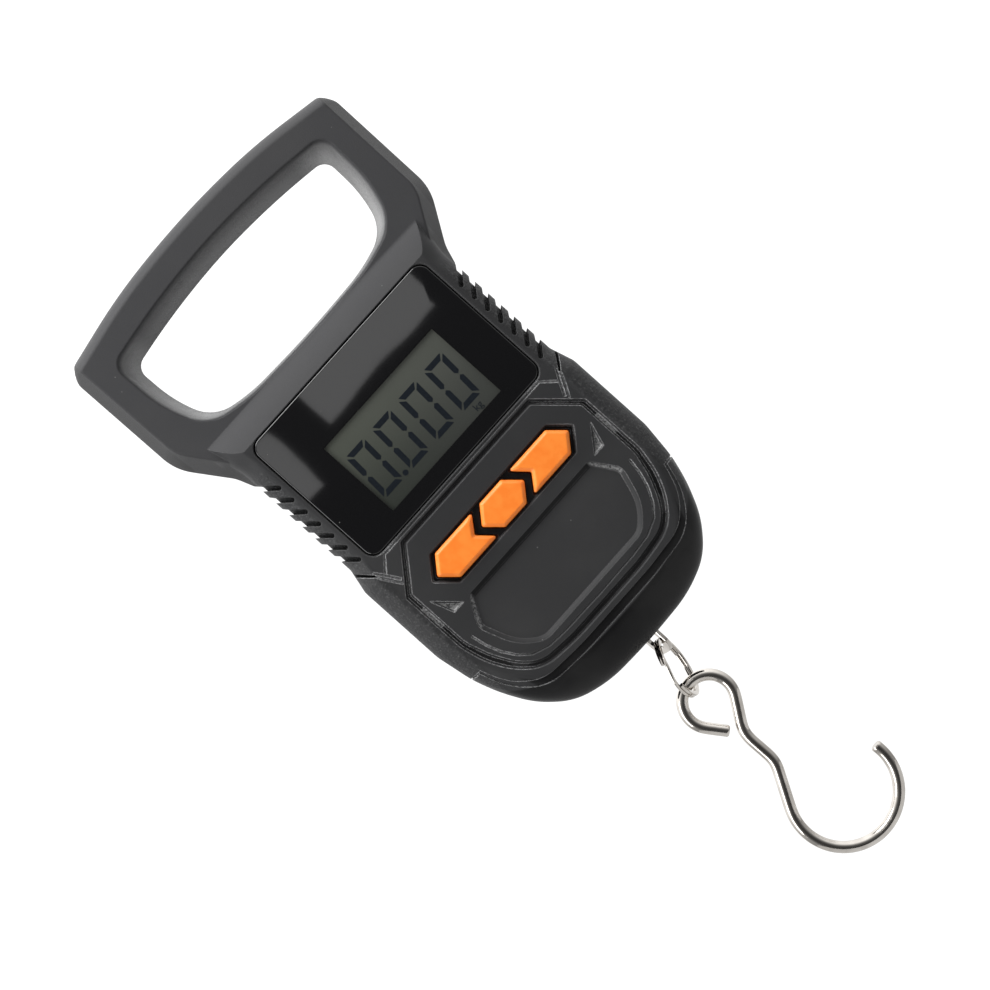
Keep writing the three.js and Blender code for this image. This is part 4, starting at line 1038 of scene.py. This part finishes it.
def cell_sleeve():
    """Printed foil sleeve: deep blue with a pale band and bright metal at the ends."""
    f = Finish("cell_sleeve")
    end = abs(f.x).above(20.55, 20.65)
    band = abs(f.x + 9).above(4.9, 5.0)
    foil = f.mix(band, (0.5, 0.52, 0.53), (0.02, 0.10, 0.24))
    scuff = f.noise(0.8, 5.0)
    f.set(Base_Color=f.mix(end, foil, (0.62, 0.61, 0.58)), Metallic=0.25 + 0.75 * end)
    f.set(Roughness=0.28 + 0.2 * scuff)
    return f.relief(scuff, 0.01).material


STEEL = plain("plated_steel", (0.40, 0.40, 0.41), (0.56, 0.56, 0.57), 0.30, 1.0)
CONTACT = plain("contact_steel", (0.52, 0.50, 0.46), (0.68, 0.66, 0.62), 0.24, 1.0)
EPOXY = plain("black_epoxy", (0.010, 0.010, 0.011), (0.020, 0.020, 0.021), 0.5)
JACKET = plain("cable_jacket", (0.012, 0.012, 0.013), (0.022, 0.022, 0.022), 0.45)
RED_JACKET = plain("red_jacket", (0.36, 0.012, 0.010), (0.48, 0.02, 0.016), 0.45)
PLUNGER = plain("plunger_plastic", (0.55, 0.54, 0.50), (0.66, 0.65, 0.60), 0.4)
MILLED = {"per_mm": 2.0, "depth": 0.02, "stretch": (0.1, 1, 4)}
ALUMINIUM = plain("load_cell_aluminium", (0.48, 0.49, 0.50), (0.66, 0.67, 0.68), 0.36, 1.0, **MILLED)
RUBBER = plain("grey_rubber", (0.05, 0.05, 0.052), (0.08, 0.08, 0.082), 0.7)
LIGHT_GUIDE = plain("light_guide", (0.70, 0.72, 0.72), (0.80, 0.82, 0.82), 0.25)
INSIDE = {
    board_laminate(): ["circuit_board"],
    EPOXY: ["controller_chip", "buzzer", "switch_left", "switch_middle", "switch_right"],
    PLUNGER: ["plunger_left", "plunger_middle", "plunger_right"],
    ALUMINIUM: ["load_cell"],
    RUBBER: ["strain_gauge", "lcd_connector"],
    LIGHT_GUIDE: ["lcd_backlight"],
    RED_JACKET: ["battery_wire_red"],
    JACKET: ["battery_wire_black", "gauge_cable"],
    cell_sleeve(): ["cell_upper", "cell_lower"],
    CONTACT: ["contact_bridge", "contact_plus", "contact_minus"],
    STEEL: ["tab_pin"] + [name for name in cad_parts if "screw" in name],
}
for material, nodes in INSIDE.items():
    for node in nodes:
        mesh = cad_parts[node].data
        mesh.materials.clear()
        mesh.materials.append(material)
